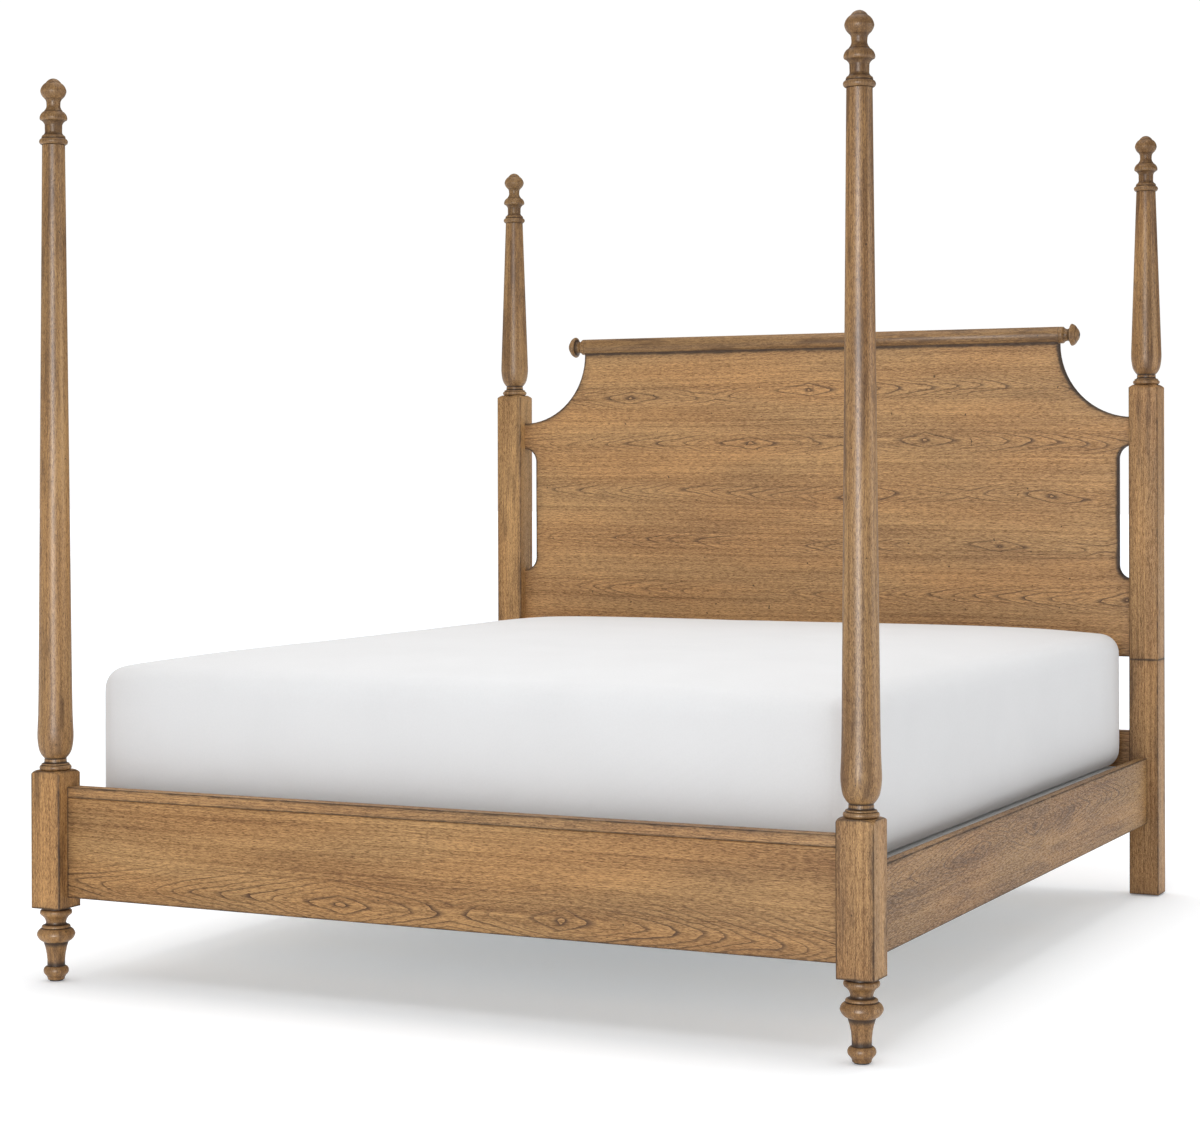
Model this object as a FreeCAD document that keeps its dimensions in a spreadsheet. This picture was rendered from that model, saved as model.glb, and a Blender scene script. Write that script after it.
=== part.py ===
import FreeCAD, Part
import math
import os
import Sketcher

# A four-poster bed with a slotted headboard, turned posts and a mattress on slats.
# Millimetres, +Z up, +X to the right as seen from the foot end, +Y towards the headboard.
# The origin is on the floor, under the middle of the bed.

os.makedirs("parts", exist_ok=True)
doc = FreeCAD.newDocument("PosterBed")
sheet = doc.addObject("Spreadsheet::Sheet", "Sizes")


# A size: its number, and the sheet formula that gives it.
class Size:
    def __init__(self, value, formula):
        self.value = value
        self.formula = formula

    def __add__(self, other):
        other = as_size(other)
        return Size(self.value + other.value, f"({self.formula} + {other.formula})")

    def __sub__(self, other):
        other = as_size(other)
        return Size(self.value - other.value, f"({self.formula} - {other.formula})")

    def __mul__(self, factor):
        factor = as_size(factor)
        return Size(self.value * factor.value, f"({self.formula} * {factor.formula})")

    def __truediv__(self, factor):
        factor = as_size(factor)
        return Size(self.value / factor.value, f"({self.formula} / {factor.formula})")

    def __neg__(self):
        return Size(-self.value, f"(0 - {self.formula})")

    __rmul__ = __mul__


def as_size(number):
    if isinstance(number, Size):
        return number
    return Size(float(number), f"({float(number)!r})")


nothing = as_size(0)


# The whole bed
front_post_height = 2036
rear_post_height = 2048
joint_gap = 0.2
lift_gap = 0.3

# Posts: square parts, turned parts and finials
post_side = 79
post_corner_radius = 4
shoulder_drop = 10
block_bottom_height = 166
block_height = 309
rear_block_top = 1376
rear_seam_height = 635
finial_height = 150
finial_width = 65
shaft_top_width = 51
bulb_width = 80.5
bulb_height = 57
ring_width = 71.5
ring_height = 28
foot_bulge_width = 85.5
tenon_width = 25
tenon_length = 40

# Floor glides
glide_width = 30
glide_height = 3

# Headboard
panel_thickness = 28
panel_setback = 30
panel_seam_gap = 5
cove_radius = 203
ear_top_height = 1290
slot_width = 38
slot_bottom_height = 850
slot_height = 364
roll_width = 47
roll_groove_depth = 12
knob_width = 61
knob_length = 32
roll_neck_length = 26
knob_tenon_width = 14
knob_tenon_length = 30

# Footboard and the lower rail of the headboard
rail_setback = 30
foot_rail_bottom = 190
foot_rail_height = 225
foot_rail_thickness = 38
cap_height = 24
groove_width = 2
edge_radius = 2
rail_tenon_length = 28
tenon_shoulder = 15

# Side rails with their hook fittings
side_rail_bottom = 194.5
side_rail_height = 176
side_rail_thickness = 26
plate_height = 120
plate_width = 18
plate_thickness = 3
hook_spacing = 56
hook_height = 18
hook_reach = 14
hook_drop = 12
hook_thickness = 3.5
hook_clearance = 0.5
hook_room = 2

# Ledgers, slats and support legs
ledger_side = 30
ledger_rise = 2
slat_width = 90
slat_thickness = 18
slat_end_gap = 2.5
ledger_end_gap = 20
first_slat_distance = 193
support_leg_side = 45
support_leg_lift = 30
leveller_pad_width = 40
leveller_pad_height = 6
leveller_stem_width = 8
leveller_stem_height = 60
leveller_travel = 15
insert_width = 13
insert_height = 16
leg_bolt_width = 8
leg_bolt_head_width = 22
leg_bolt_head_height = 3
leg_bolt_length = 70

# Foundation and mattress
bedding_width = 1840
bedding_length = 2134
bedding_corner_radius = 55
bedding_head_gap = 15
bedding_foot_gap = 38
bedding_side_gap = 28.5
foundation_height = 100
foundation_margin = 6
mattress_height = 358
mattress_top_round = 55
mattress_bottom_round = 20
mattress_crown = 30
mattress_waist = 4
foundation_edge_round = 6

# Every number above is a row of the sheet, and its name stands for that cell from here on
driving_sizes = {name: value for name, value in globals().items() if isinstance(value, (int, float))}
for row, (alias, number) in enumerate(driving_sizes.items(), start=1):
    sheet.set(f"A{row}", alias)
    sheet.set(f"B{row}", str(number))
    sheet.setAlias(f"B{row}", alias)
    globals()[alias] = Size(float(number), f"Sizes.{alias}")
sheet.recompute()
doc.recompute()

# Places worked out from the driving sizes
half_post = post_side / 2
side_rail_room = side_rail_thickness + rail_setback
width_between_posts = bedding_width + (bedding_side_gap + side_rail_room) * 2 - post_side
bedding_room_length = bedding_head_gap + bedding_length + bedding_foot_gap
length_between_posts = bedding_room_length + foot_rail_thickness + rail_setback - panel_setback
bulge_overhang = foot_bulge_width / 2 - half_post
post_x = width_between_posts / 2
front_y = bulge_overhang / 2 - length_between_posts / 2
rear_y = bulge_overhang / 2 + length_between_posts / 2
inner_x = post_x - half_post
front_face_y = front_y + half_post
rear_face_y = rear_y - half_post
side_rail_middle_y = (front_face_y + rear_face_y) / 2
block_top_height = block_bottom_height + block_height
front_shaft_top = front_post_height - finial_height
rear_shaft_top = rear_post_height - finial_height
panel_front_y = rear_face_y + panel_setback
panel_middle_y = panel_front_y + panel_thickness / 2
panel_bottom_height = rear_seam_height + panel_seam_gap
panel_top_height = ear_top_height + cove_radius
slot_top_height = slot_bottom_height + slot_height
roll_plain_x = inner_x - cove_radius
roll_joint_x = roll_plain_x + roll_neck_length
roll_middle_height = panel_top_height + roll_width / 2
foot_rail_top = foot_rail_bottom + foot_rail_height
foot_rail_front_y = front_y - half_post + rail_setback
side_rail_outer_x = post_x + half_post - rail_setback
side_rail_inner_x = side_rail_outer_x - side_rail_thickness
ledger_bottom = side_rail_bottom + ledger_rise
slat_bottom = ledger_bottom + ledger_side
slat_top = slat_bottom + slat_thickness
foundation_bottom = slat_top + lift_gap
mattress_bottom = foundation_bottom + foundation_height + lift_gap
bedding_rear_y = panel_front_y - bedding_head_gap
bedding_middle_y = bedding_rear_y - bedding_length / 2

pieces = []
quarter_turn_share = (math.sqrt(2) - 1) / 2
sides = (("left", -1), ("right", 1))


def bind(item, prop, size):
    """Give a property its number and the sheet formula behind it."""
    item.setExpression(prop, size.formula)


def place(item, x=nothing, y=nothing, z=nothing, turn=0):
    """Move a piece, turned about Z by a whole number of degrees."""
    middle = FreeCAD.Vector(x.value, y.value, z.value)
    item.Placement = FreeCAD.Placement(middle, FreeCAD.Rotation(FreeCAD.Vector(0, 0, 1), turn))
    for axis, size in (("x", x), ("y", y), ("z", z)):
        bind(item, f"Placement.Base.{axis}", size)


def keep(item, label):
    """Name a finished piece and add it to the list that is written out."""
    item.Label = label
    pieces.append(item)
    return item


# Sketches: outlines of straight lines and arcs, pinned to the sheet
def origin_plane(body, role):
    for feature in body.Origin.OriginFeatures:
        if feature.Role == role:
            return feature
    raise ValueError(role)


def pin_point(sketch, geometry, end, x, y, label):
    for kind, size, axis in (("DistanceX", x, -2), ("DistanceY", y, -1)):
        if size is nothing:
            sketch.addConstraint(Sketcher.Constraint("PointOnObject", geometry, end, axis))
            continue
        number = sketch.addConstraint(Sketcher.Constraint(kind, -1, 1, geometry, end, size.value))
        name = f"{label}_{kind[-1].lower()}"
        sketch.renameConstraint(number, name)
        sketch.setExpression(f"Constraints.{name}", size.formula)


def draw_arc(sketch, start, end, share, label):
    """An arc between two points. Share is its height over its chord, positive to the right of the way."""
    factor = (share * share - 1 / 4) / (2 * share)
    centre_x = (start[0] + end[0]) / 2 + (end[1] - start[1]) * factor
    centre_y = (start[1] + end[1]) / 2 - (end[0] - start[0]) * factor
    first, last = (start, end) if share > 0 else (end, start)
    centre = FreeCAD.Vector(centre_x.value, centre_y.value, 0)
    angles = []
    for point in (first, last):
        angles.append(math.atan2(point[1].value - centre.y, point[0].value - centre.x))
    if angles[1] <= angles[0]:
        angles[1] += 2 * math.pi
    radius = math.hypot(first[0].value - centre.x, first[1].value - centre.y)
    circle = Part.Circle(centre, FreeCAD.Vector(0, 0, 1), radius)
    number = sketch.addGeometry(Part.ArcOfCircle(circle, angles[0], angles[1]), False)
    wide = abs(end[0].value - start[0].value) > abs(end[1].value - start[1].value)
    kind, size = ("DistanceY", centre_y) if wide else ("DistanceX", centre_x)
    constraint = sketch.addConstraint(Sketcher.Constraint(kind, -1, 1, number, 3, size.value))
    sketch.renameConstraint(constraint, f"{label}_centre")
    sketch.setExpression(f"Constraints.{label}_centre", size.formula)
    return (number, 1, 2) if share > 0 else (number, 2, 1)


def draw_line(sketch, start, end):
    ends = [FreeCAD.Vector(point[0].value, point[1].value, 0) for point in (start, end)]
    number = sketch.addGeometry(Part.LineSegment(ends[0], ends[1]), False)
    return number, 1, 2


def draw_outline(sketch, points, prefix="p"):
    """A closed outline through points (x, y), each with the arc share of the way to the next, if any."""
    strokes = []
    for number, point in enumerate(points):
        following = points[(number + 1) % len(points)]
        share = point[2] if len(point) > 2 else 0
        if share:
            strokes.append(draw_arc(sketch, point, following, share, f"{prefix}{number}"))
        else:
            strokes.append(draw_line(sketch, point, following))
    for number, stroke in enumerate(strokes):
        before = strokes[number - 1]
        sketch.addConstraint(Sketcher.Constraint("Coincident", before[0], before[2], stroke[0], stroke[1]))
        pin_point(sketch, stroke[0], stroke[1], points[number][0], points[number][1], f"{prefix}{number}")


def draw_circle(sketch, x, y, diameter, prefix="c"):
    middle = FreeCAD.Vector(x.value, y.value, 0)
    circle = Part.Circle(middle, FreeCAD.Vector(0, 0, 1), diameter.value / 2)
    number = sketch.addGeometry(circle, False)
    pin_point(sketch, number, 3, x, y, prefix)
    constraint = sketch.addConstraint(Sketcher.Constraint("Diameter", number, diameter.value))
    sketch.renameConstraint(constraint, f"{prefix}_width")
    sketch.setExpression(f"Constraints.{prefix}_width", diameter.formula)


def new_sketch(body, role, name, offset=None):
    """A sketch on one of the body's own origin planes, moved along that plane's normal."""
    sketch = body.newObject("Sketcher::SketchObject", name)
    sketch.AttachmentSupport = [(origin_plane(body, role), "")]
    sketch.MapMode = "FlatFace"
    if offset is not None:
        sketch.AttachmentOffset.Base.z = offset.value
        bind(sketch, "AttachmentOffset.Base.z", offset)
    return sketch


def rectangle(low_x, high_x, low_y, high_y):
    return [(low_x, low_y), (high_x, low_y), (high_x, high_y), (low_x, high_y)]


def rounded_rectangle(half_x, half_y, radius):
    """Corners rounded by arcs, anticlockwise from the lower right."""
    turn = quarter_turn_share
    return [
        (half_x - radius, -half_y, turn),
        (half_x, radius - half_y),
        (half_x, half_y - radius, turn),
        (half_x - radius, half_y),
        (radius - half_x, half_y, turn),
        (-half_x, half_y - radius),
        (-half_x, radius - half_y, turn),
        (radius - half_x, -half_y),
    ]


# Bodies and their features
def new_body(label):
    body = doc.addObject("PartDesign::Body", label)
    body.Label = label
    return body


def add_pad(body, sketch, length, name="Pad", symmetric=False, reverse=False):
    pad = body.newObject("PartDesign::Pad", name)
    pad.Profile = sketch
    pad.Length = length.value
    bind(pad, "Length", length)
    pad.Reversed = reverse
    if symmetric:
        pad.SideType = "Symmetric"
    doc.recompute()
    return pad


def add_turning(body, sketch, axis="V_Axis", kind="Revolution"):
    turning = body.newObject(f"PartDesign::{kind}", kind)
    turning.Profile = sketch
    turning.ReferenceAxis = (sketch, [axis])
    turning.Angle = 360
    doc.recompute()
    return turning


def cut_pocket(body, sketch, depth, along_normal=False, name="Pocket"):
    """Cut against the sketch's normal, or along it, and check that something was cut."""
    before = body.Shape.Volume
    pocket = body.newObject("PartDesign::Pocket", name)
    pocket.Profile = sketch
    pocket.Length = depth.value
    bind(pocket, "Length", depth)
    pocket.Reversed = along_normal
    doc.recompute()
    if body.Shape.Volume >= before:
        raise ValueError(f"{body.Label}: {name} cut nothing")
    return pocket


def bore(body, role, offset, centres, diameter, depth, along_normal, name):
    """Round holes that start on a plane of the body, moved by the offset."""
    sketch = new_sketch(body, role, f"{name}Circles", offset)
    for number, (x, y) in enumerate(centres):
        draw_circle(sketch, x, y, diameter, f"c{number}")
    doc.recompute()
    return cut_pocket(body, sketch, depth, along_normal, name)


def mortise(body, role, offset, outlines, depth, along_normal, name):
    """Pockets of any outline that start on a plane of the body, moved by the offset."""
    sketch = new_sketch(body, role, f"{name}Outline", offset)
    for number, outline in enumerate(outlines):
        draw_outline(sketch, outline, f"m{number}_")
    doc.recompute()
    return cut_pocket(body, sketch, depth, along_normal, name)


def turned_body(label, points, role="XZ_Plane", axis="V_Axis"):
    body = new_body(label)
    sketch = new_sketch(body, role, "Profile")
    draw_outline(sketch, points)
    doc.recompute()
    add_turning(body, sketch, axis)
    return body


def group(label, members):
    """Separate like pieces under one name."""
    compound = doc.addObject("Part::Compound", label)
    compound.Links = members
    return keep(compound, label)


# Turned profiles: (radius share, height share, arc share of the way to the next point)
foot_profile_shares = [
    (0.435, 0.0, -0.09),
    (0.565, 0.068, 0.25),
    (0.545, 0.178),
    (0.46, 0.188, -0.05),
    (0.655, 0.522, 0.13),
    (1.0, 0.625, 0.14),
    (0.745, 0.712),
    (0.735, 0.714, 0.22),
    (0.7, 0.75),
    (0.62, 0.757, -0.2),
    (0.53, 0.8, -0.1),
    (0.76, 0.89, 0.25),
    (0.78, 0.962),
    (0.7, 0.97),
    (0.7, 1.0),
]
ring_profile_shares = [
    (0.88, 0.0),
    (0.9, 0.04, 0.33),
    (0.9, 0.42),
    (0.84, 0.44),
    (0.87, 0.46, 0.25),
    (0.84, 0.56),
    (0.8, 0.575, -0.2),
    (0.695, 0.72),
    (0.695, 0.9),
    (0.665, 0.92),
]
bulb_profile_shares = [(0.62, 0.0, 0.06), (0.9, 0.31, 0.035), (1.0, 1.0)]
taper_profile_shares = [(0.955, 0.03), (0.93, 0.075)]
finial_profile_shares = [
    (0.8, 0.0, 0.38),
    (0.83, 0.095),
    (0.82, 0.105, 0.12),
    (0.76, 0.14),
    (0.73, 0.145, -0.12),
    (0.59, 0.195),
    (0.6, 0.3, -0.12),
    (0.92, 0.375),
    (0.95, 0.395, 0.135),
    (0.65, 0.505),
    (0.6, 0.522, -0.1),
    (0.474, 0.6),
    (0.49, 0.65, -0.06),
    (0.6, 0.695, 0.1),
    (0.895, 0.807, 0.118),
    (0.53, 0.933),
    (0.505, 0.94, 0.105),
    (0.09, 1.0),
]

# The same for the roll's ends, listed towards the middle of the bed: (length share, radius share, arc share)
roll_end_shares = [(1.0, 0.7, -0.14), (0.52, 0.92), (0.48, 0.96, 0.05), (0.05, 0.96), (0.0, 1.0)]
knob_profile_shares = [(0.72, 0.66, 0.1), (0.42, 0.96, 0.14), (0.3, 0.98), (0.24, 0.86, -0.12), (0.0, 0.54)]
knob_tip_arc_share = 0.1


def scaled(shares, radius, low, height):
    """Profile points from a table of shares."""
    points = []
    for share in shares:
        points.append((radius * share[0], low + height * share[1]) + tuple(share[2:]))
    return points


def lengthwise(shares, low, length, radius):
    """The same for a piece that is turned about X."""
    points = []
    for share in shares:
        points.append((low + length * share[0], radius * share[1]) + tuple(share[2:]))
    return points


def tenon_points(tenon_end):
    """The axis end and the corners of a round tenon below a turned piece."""
    half_tenon = tenon_width / 2 - joint_gap
    return [(nothing, tenon_end), (half_tenon, tenon_end), (half_tenon, nothing)]


def top_bore(body, top):
    """The hole that takes the tenon of the piece above."""
    centres = [(nothing, nothing)]
    bore(body, "XY_Plane", top, centres, tenon_width, tenon_length, False, "TopBore")


tenon_end = lift_gap - tenon_length


def build_finial(x, y, z):
    """From the joint at the shaft's top to the tip, with its tenon below the joint."""
    points = tenon_points(tenon_end)
    points += scaled(finial_profile_shares, finial_width / 2, nothing, finial_height)
    points.append((nothing, finial_height))
    body = turned_body("Finial", points)
    place(body, x, y, z)
    return body


def build_front_shaft(label, x):
    """The long vase-shaped shaft, standing on the block with its tenon below."""
    length = front_shaft_top - block_top_height
    taper_start = ring_height + bulb_height
    taper = length - taper_start
    points = tenon_points(tenon_end)
    points += scaled(ring_profile_shares, ring_width / 2, nothing, ring_height)
    points += scaled(bulb_profile_shares, bulb_width / 2, ring_height, bulb_height)
    points += scaled(taper_profile_shares, bulb_width / 2, taper_start, taper)
    points += [(shaft_top_width / 2, length), (nothing, length)]
    body = turned_body(label, points)
    top_bore(body, length)
    place(body, x, front_y, block_top_height)
    keep(body, label)


def build_foot(x):
    """The turned foot of a front post, with its tenon above."""
    length = block_bottom_height - glide_height
    half_tenon = tenon_width / 2 - joint_gap
    top = length - tenon_end
    points = [(nothing, nothing)]
    points += scaled(foot_profile_shares, foot_bulge_width / 2, nothing, length)
    points += [(half_tenon, length), (half_tenon, top), (nothing, top)]
    body = turned_body("Foot", points)
    place(body, x, front_y, glide_height)
    return body


# Square parts of the posts
shoulder_reach_share = math.sqrt(2)
shoulder_outside_share = 1.7
shoulder_arc_share = -0.15
foot_tenon_height_share = 0.72
foot_tenon_thickness_share = 0.34


def square_body(label, height, low=nothing):
    """A square length of a post, standing on its own origin or above it."""
    body = new_body(label)
    sketch = new_sketch(body, "XY_Plane", "PostSquare", low)
    draw_outline(sketch, rounded_rectangle(half_post, half_post, post_corner_radius))
    doc.recompute()
    add_pad(body, sketch, height)
    return body


def turn_shoulders(body, top):
    """Round the corners of the square's top as the lathe leaves them."""
    sketch = new_sketch(body, "XZ_Plane", "ShoulderProfile")
    outside = half_post * shoulder_outside_share
    shoulder = half_post * shoulder_reach_share
    points = [
        (half_post, top, shoulder_arc_share),
        (shoulder, top - shoulder_drop),
        (outside, top - shoulder_drop),
        (outside, top + shoulder_drop),
        (half_post, top + shoulder_drop),
    ]
    draw_outline(sketch, points)
    doc.recompute()
    add_turning(body, sketch, kind="Groove")


def inner_mortises(body, side, middle_y, low, high, thickness):
    """Mortises for rail tenons in the face that looks at the bed's middle line."""
    rectangles = []
    for bottom, top in zip(low, high):
        near = middle_y - thickness / 2 - joint_gap
        far = middle_y + thickness / 2 + joint_gap
        rectangles.append(rectangle(near, far, bottom - joint_gap, top + joint_gap))
    offset = -half_post if side > 0 else half_post
    mortise(body, "YZ_Plane", offset, rectangles, rail_tenon_length, side > 0, "RailMortise")


# Hook fittings of the side rails
plate_bottom = side_rail_bottom + (side_rail_height - plate_height) / 2
slot_open_height = hook_height + hook_drop + hook_clearance * 2
side_rail_middle_x = side_rail_outer_x - side_rail_thickness / 2
plate_shift = side_rail_middle_x - post_x
hook_numbers = (0, 1)
corners = (("front", front_face_y, 0), ("rear", rear_face_y, 180))


def slot_bottoms():
    """Where the lower ends of the slots are, above the lower end of the plate."""
    first = (plate_height - hook_spacing - slot_open_height) / 2
    return [first + hook_spacing * number for number in hook_numbers]


def plate_recess(body, role, offset, x, z, along_normal):
    outline = rectangle(x - plate_width / 2, x + plate_width / 2, z, z + plate_height)
    mortise(body, role, offset, [outline], plate_thickness, along_normal, "PlateRecess")


def hook_pockets(body, front, side, z):
    """The plate's recess and the room for the hooks behind it, in the post's face."""
    x = plate_shift * side
    offset = -half_post if front else half_post
    plate_recess(body, "XZ_Plane", offset, x, z, front)
    half_width = hook_thickness / 2 + hook_room
    outlines = []
    for bottom in slot_bottoms():
        low = z + bottom - hook_drop - hook_room
        high = z + bottom + slot_open_height + hook_room
        outlines.append(rectangle(x - half_width, x + half_width, low, high))
    depth = hook_reach + hook_room
    mortise(body, "XZ_Plane", offset, outlines, depth, front, "HookPocket")


def build_slot_plate(x, y, turn):
    """Let in flush with the post, its face at the body's own origin plane."""
    body = new_body("SlotPlate")
    sketch = new_sketch(body, "XZ_Plane", "PlateOutline")
    draw_outline(sketch, rectangle(-plate_width / 2, plate_width / 2, nothing, plate_height))
    doc.recompute()
    add_pad(body, sketch, plate_thickness)
    half_slot = hook_thickness / 2 + joint_gap
    slots = []
    for bottom in slot_bottoms():
        slots.append(rectangle(-half_slot, half_slot, bottom, bottom + slot_open_height))
    mortise(body, "XZ_Plane", nothing, slots, plate_thickness, True, "HookSlots")
    place(body, x, y, plate_bottom, turn)
    return body


def hook_outline(bottom):
    """A hook that hangs over the lower end of its slot, seen from the side."""
    behind = plate_thickness + joint_gap
    return [
        (nothing, bottom),
        (nothing, bottom + hook_height),
        (hook_drop - hook_reach, bottom + hook_height, quarter_turn_share),
        (-hook_reach, bottom + hook_height - hook_drop),
        (-hook_reach, bottom - hook_drop + hook_thickness),
        (hook_thickness - hook_reach, bottom - hook_drop),
        (-behind, bottom - hook_drop),
        (-behind, bottom),
    ]


def build_hook_plate(x, y, turn):
    """Let in flush with the rail's end, with its hooks reaching into the post."""
    body = new_body("HookPlate")
    sketch = new_sketch(body, "XZ_Plane", "PlateOutline")
    draw_outline(sketch, rectangle(-plate_width / 2, plate_width / 2, nothing, plate_height))
    doc.recompute()
    add_pad(body, sketch, plate_thickness, reverse=True)
    hooks = new_sketch(body, "YZ_Plane", "HookOutlines")
    for number, bottom in enumerate(slot_bottoms()):
        draw_outline(hooks, hook_outline(bottom), f"h{number}_")
    doc.recompute()
    add_pad(body, hooks, hook_thickness, "Hooks", symmetric=True)
    place(body, x, y, plate_bottom, turn)
    return body


def build_fittings():
    slot_plates = []
    hook_plates = []
    for side_name, side in sides:
        for corner_name, y, turn in corners:
            slot_plates.append(build_slot_plate(side_rail_middle_x * side, y, turn))
            hook_plates.append(build_hook_plate(side_rail_middle_x * side, y, turn))
    group("post_slot_plates", slot_plates)
    group("rail_hook_plates", hook_plates)


# Front and rear posts
foot_rail_middle_y = foot_rail_front_y + foot_rail_thickness / 2
foot_tenon_height = foot_rail_height * foot_tenon_height_share
foot_tenon_low = foot_rail_bottom + (foot_rail_height - foot_tenon_height) / 2
foot_tenon_thickness = foot_rail_thickness * foot_tenon_thickness_share
panel_tenon_thickness = panel_thickness * foot_tenon_thickness_share
panel_tenon_lows = [panel_bottom_height + tenon_shoulder, slot_top_height + tenon_shoulder]
panel_tenon_highs = [slot_bottom_height - tenon_shoulder, ear_top_height - tenon_shoulder]


def build_front_block(label, side):
    """The square block of a front post, which takes the footboard and a side rail."""
    body = square_body(label, block_height)
    turn_shoulders(body, block_height)
    top_bore(body, block_height)
    centres = [(nothing, nothing)]
    bore(body, "XY_Plane", nothing, centres, tenon_width, tenon_length, True, "FootBore")
    low = foot_tenon_low - block_bottom_height
    middle_y = foot_rail_middle_y - front_y
    high = low + foot_tenon_height
    inner_mortises(body, side, middle_y, [low], [high], foot_tenon_thickness)
    hook_pockets(body, True, side, plate_bottom - block_bottom_height)
    place(body, post_x * side, front_y, block_bottom_height)
    keep(body, label)


def build_rear_leg(label, side):
    """The square leg of a rear post, up to the joint below the headboard."""
    height = rear_seam_height - glide_height
    body = square_body(label, height)
    top_bore(body, height)
    low = foot_tenon_low - glide_height
    middle_y = panel_middle_y - rear_y
    high = low + foot_tenon_height
    inner_mortises(body, side, middle_y, [low], [high], panel_tenon_thickness)
    hook_pockets(body, False, side, plate_bottom - glide_height)
    place(body, post_x * side, rear_y, glide_height)
    keep(body, label)


def build_rear_post(label, side):
    """The upper rear post: square beside the headboard, turned above it."""
    square_height = rear_block_top - rear_seam_height
    length = rear_shaft_top - rear_seam_height
    shaft_start = square_height + ring_height
    points = [(nothing, square_height)]
    points += scaled(ring_profile_shares, ring_width / 2, square_height, ring_height)
    points += scaled(bulb_profile_shares, bulb_width / 2, shaft_start, bulb_height)
    points += [(shaft_top_width / 2, length), (nothing, length)]
    body = square_body(label, square_height)
    turn_shoulders(body, square_height)
    for name, outline in (("Shaft", points), ("Tenon", tenon_points(tenon_end) + [(nothing, nothing)])):
        sketch = new_sketch(body, "XZ_Plane", f"{name}Profile")
        draw_outline(sketch, outline)
        doc.recompute()
        add_turning(body, sketch)
    top_bore(body, length)
    lows = [low - rear_seam_height for low in panel_tenon_lows]
    highs = [high - rear_seam_height for high in panel_tenon_highs]
    middle_y = panel_middle_y - rear_y
    inner_mortises(body, side, middle_y, lows, highs, panel_tenon_thickness)
    place(body, post_x * side, rear_y, rear_seam_height)
    keep(body, label)


def build_posts():
    finials = []
    feet = []
    for side_name, side in sides:
        build_front_block(f"front_block_{side_name}", side)
        build_front_shaft(f"front_shaft_{side_name}", post_x * side)
        build_rear_leg(f"rear_leg_{side_name}", side)
        build_rear_post(f"rear_post_{side_name}", side)
        feet.append(build_foot(post_x * side))
        finials.append(build_finial(post_x * side, front_y, front_shaft_top))
        finials.append(build_finial(post_x * side, rear_y, rear_shaft_top))
    group("finials", finials)
    group("front_feet", feet)


# Headboard
def mirrored(half):
    """Close an outline with the mirror image of its right half."""
    outline = list(half)
    for number in range(len(half) - 1, -1, -1):
        point = (-half[number][0], half[number][1])
        before = half[number - 1] if number else half[number][:2]
        outline.append(point + tuple(before[2:]))
    return outline


def build_headboard_panel():
    """A flat panel with quarter-round coves at its shoulders and a slot beside each post."""
    label = "headboard_panel"
    body = new_body(label)
    sketch = new_sketch(body, "XZ_Plane", "PanelOutline")
    hollow = -quarter_turn_share
    slot_x = inner_x - slot_width
    top_x = inner_x - cove_radius
    tongue_top = panel_top_height + roll_groove_depth - lift_gap
    half = [
        (inner_x, panel_bottom_height),
        (inner_x, slot_bottom_height, hollow),
        (slot_x, slot_bottom_height + slot_width),
        (slot_x, slot_top_height - slot_width, hollow),
        (inner_x, slot_top_height),
        (inner_x, ear_top_height, hollow),
        (top_x, panel_top_height),
        (top_x, tongue_top),
    ]
    draw_outline(sketch, mirrored(half))
    doc.recompute()
    add_pad(body, sketch, panel_thickness, symmetric=True)
    tenons = new_sketch(body, "YZ_Plane", "TenonOutlines")
    half_tenon = panel_tenon_thickness / 2
    for number, (low, high) in enumerate(zip(panel_tenon_lows, panel_tenon_highs)):
        draw_outline(tenons, rectangle(-half_tenon, half_tenon, low, high), f"t{number}_")
    doc.recompute()
    tenon_span = (inner_x + rail_tenon_length - lift_gap) * 2
    add_pad(body, tenons, tenon_span, "Tenons", symmetric=True)
    place(body, nothing, panel_middle_y, nothing)
    keep(body, label)


def build_headboard_roll():
    """The round rail along the panel's top, turned at its ends and grooved underneath."""
    label = "headboard_roll"
    half = [(roll_joint_x, nothing)]
    half += lengthwise(roll_end_shares, roll_plain_x, roll_neck_length, roll_width / 2)
    body = turned_body(label, mirrored(half), "XY_Plane", "H_Axis")
    half_groove = panel_thickness / 2 + joint_gap
    half_length = roll_plain_x + joint_gap
    groove = rectangle(-half_length, half_length, -half_groove, half_groove)
    depth = roll_groove_depth
    mortise(body, "XY_Plane", -roll_width / 2, [groove], depth, True, "PanelGroove")
    for side_name, side in sides:
        centres = [(nothing, nothing)]
        offset = roll_joint_x * side
        depth = knob_tenon_length
        bore(body, "YZ_Plane", offset, centres, knob_tenon_width, depth, side < 0, f"KnobBore{side_name}")
    place(body, nothing, panel_middle_y, roll_middle_height)
    keep(body, label)


def build_roll_knobs():
    """The turned ends of the roll: a flare and a blunt cone, with a tenon."""
    knobs = []
    half_tenon = knob_tenon_width / 2 - joint_gap
    inner_end = lift_gap - knob_tenon_length
    points = [(knob_length, nothing, knob_tip_arc_share)]
    points += lengthwise(knob_profile_shares, nothing, knob_length, knob_width / 2)
    points += [(nothing, half_tenon), (inner_end, half_tenon), (inner_end, nothing)]
    for turn, side in ((180, -1), (0, 1)):
        body = turned_body("RollKnob", points, "XY_Plane", "H_Axis")
        place(body, roll_joint_x * side, panel_middle_y, roll_middle_height, turn)
        knobs.append(body)
    group("roll_knobs", knobs)


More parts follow.
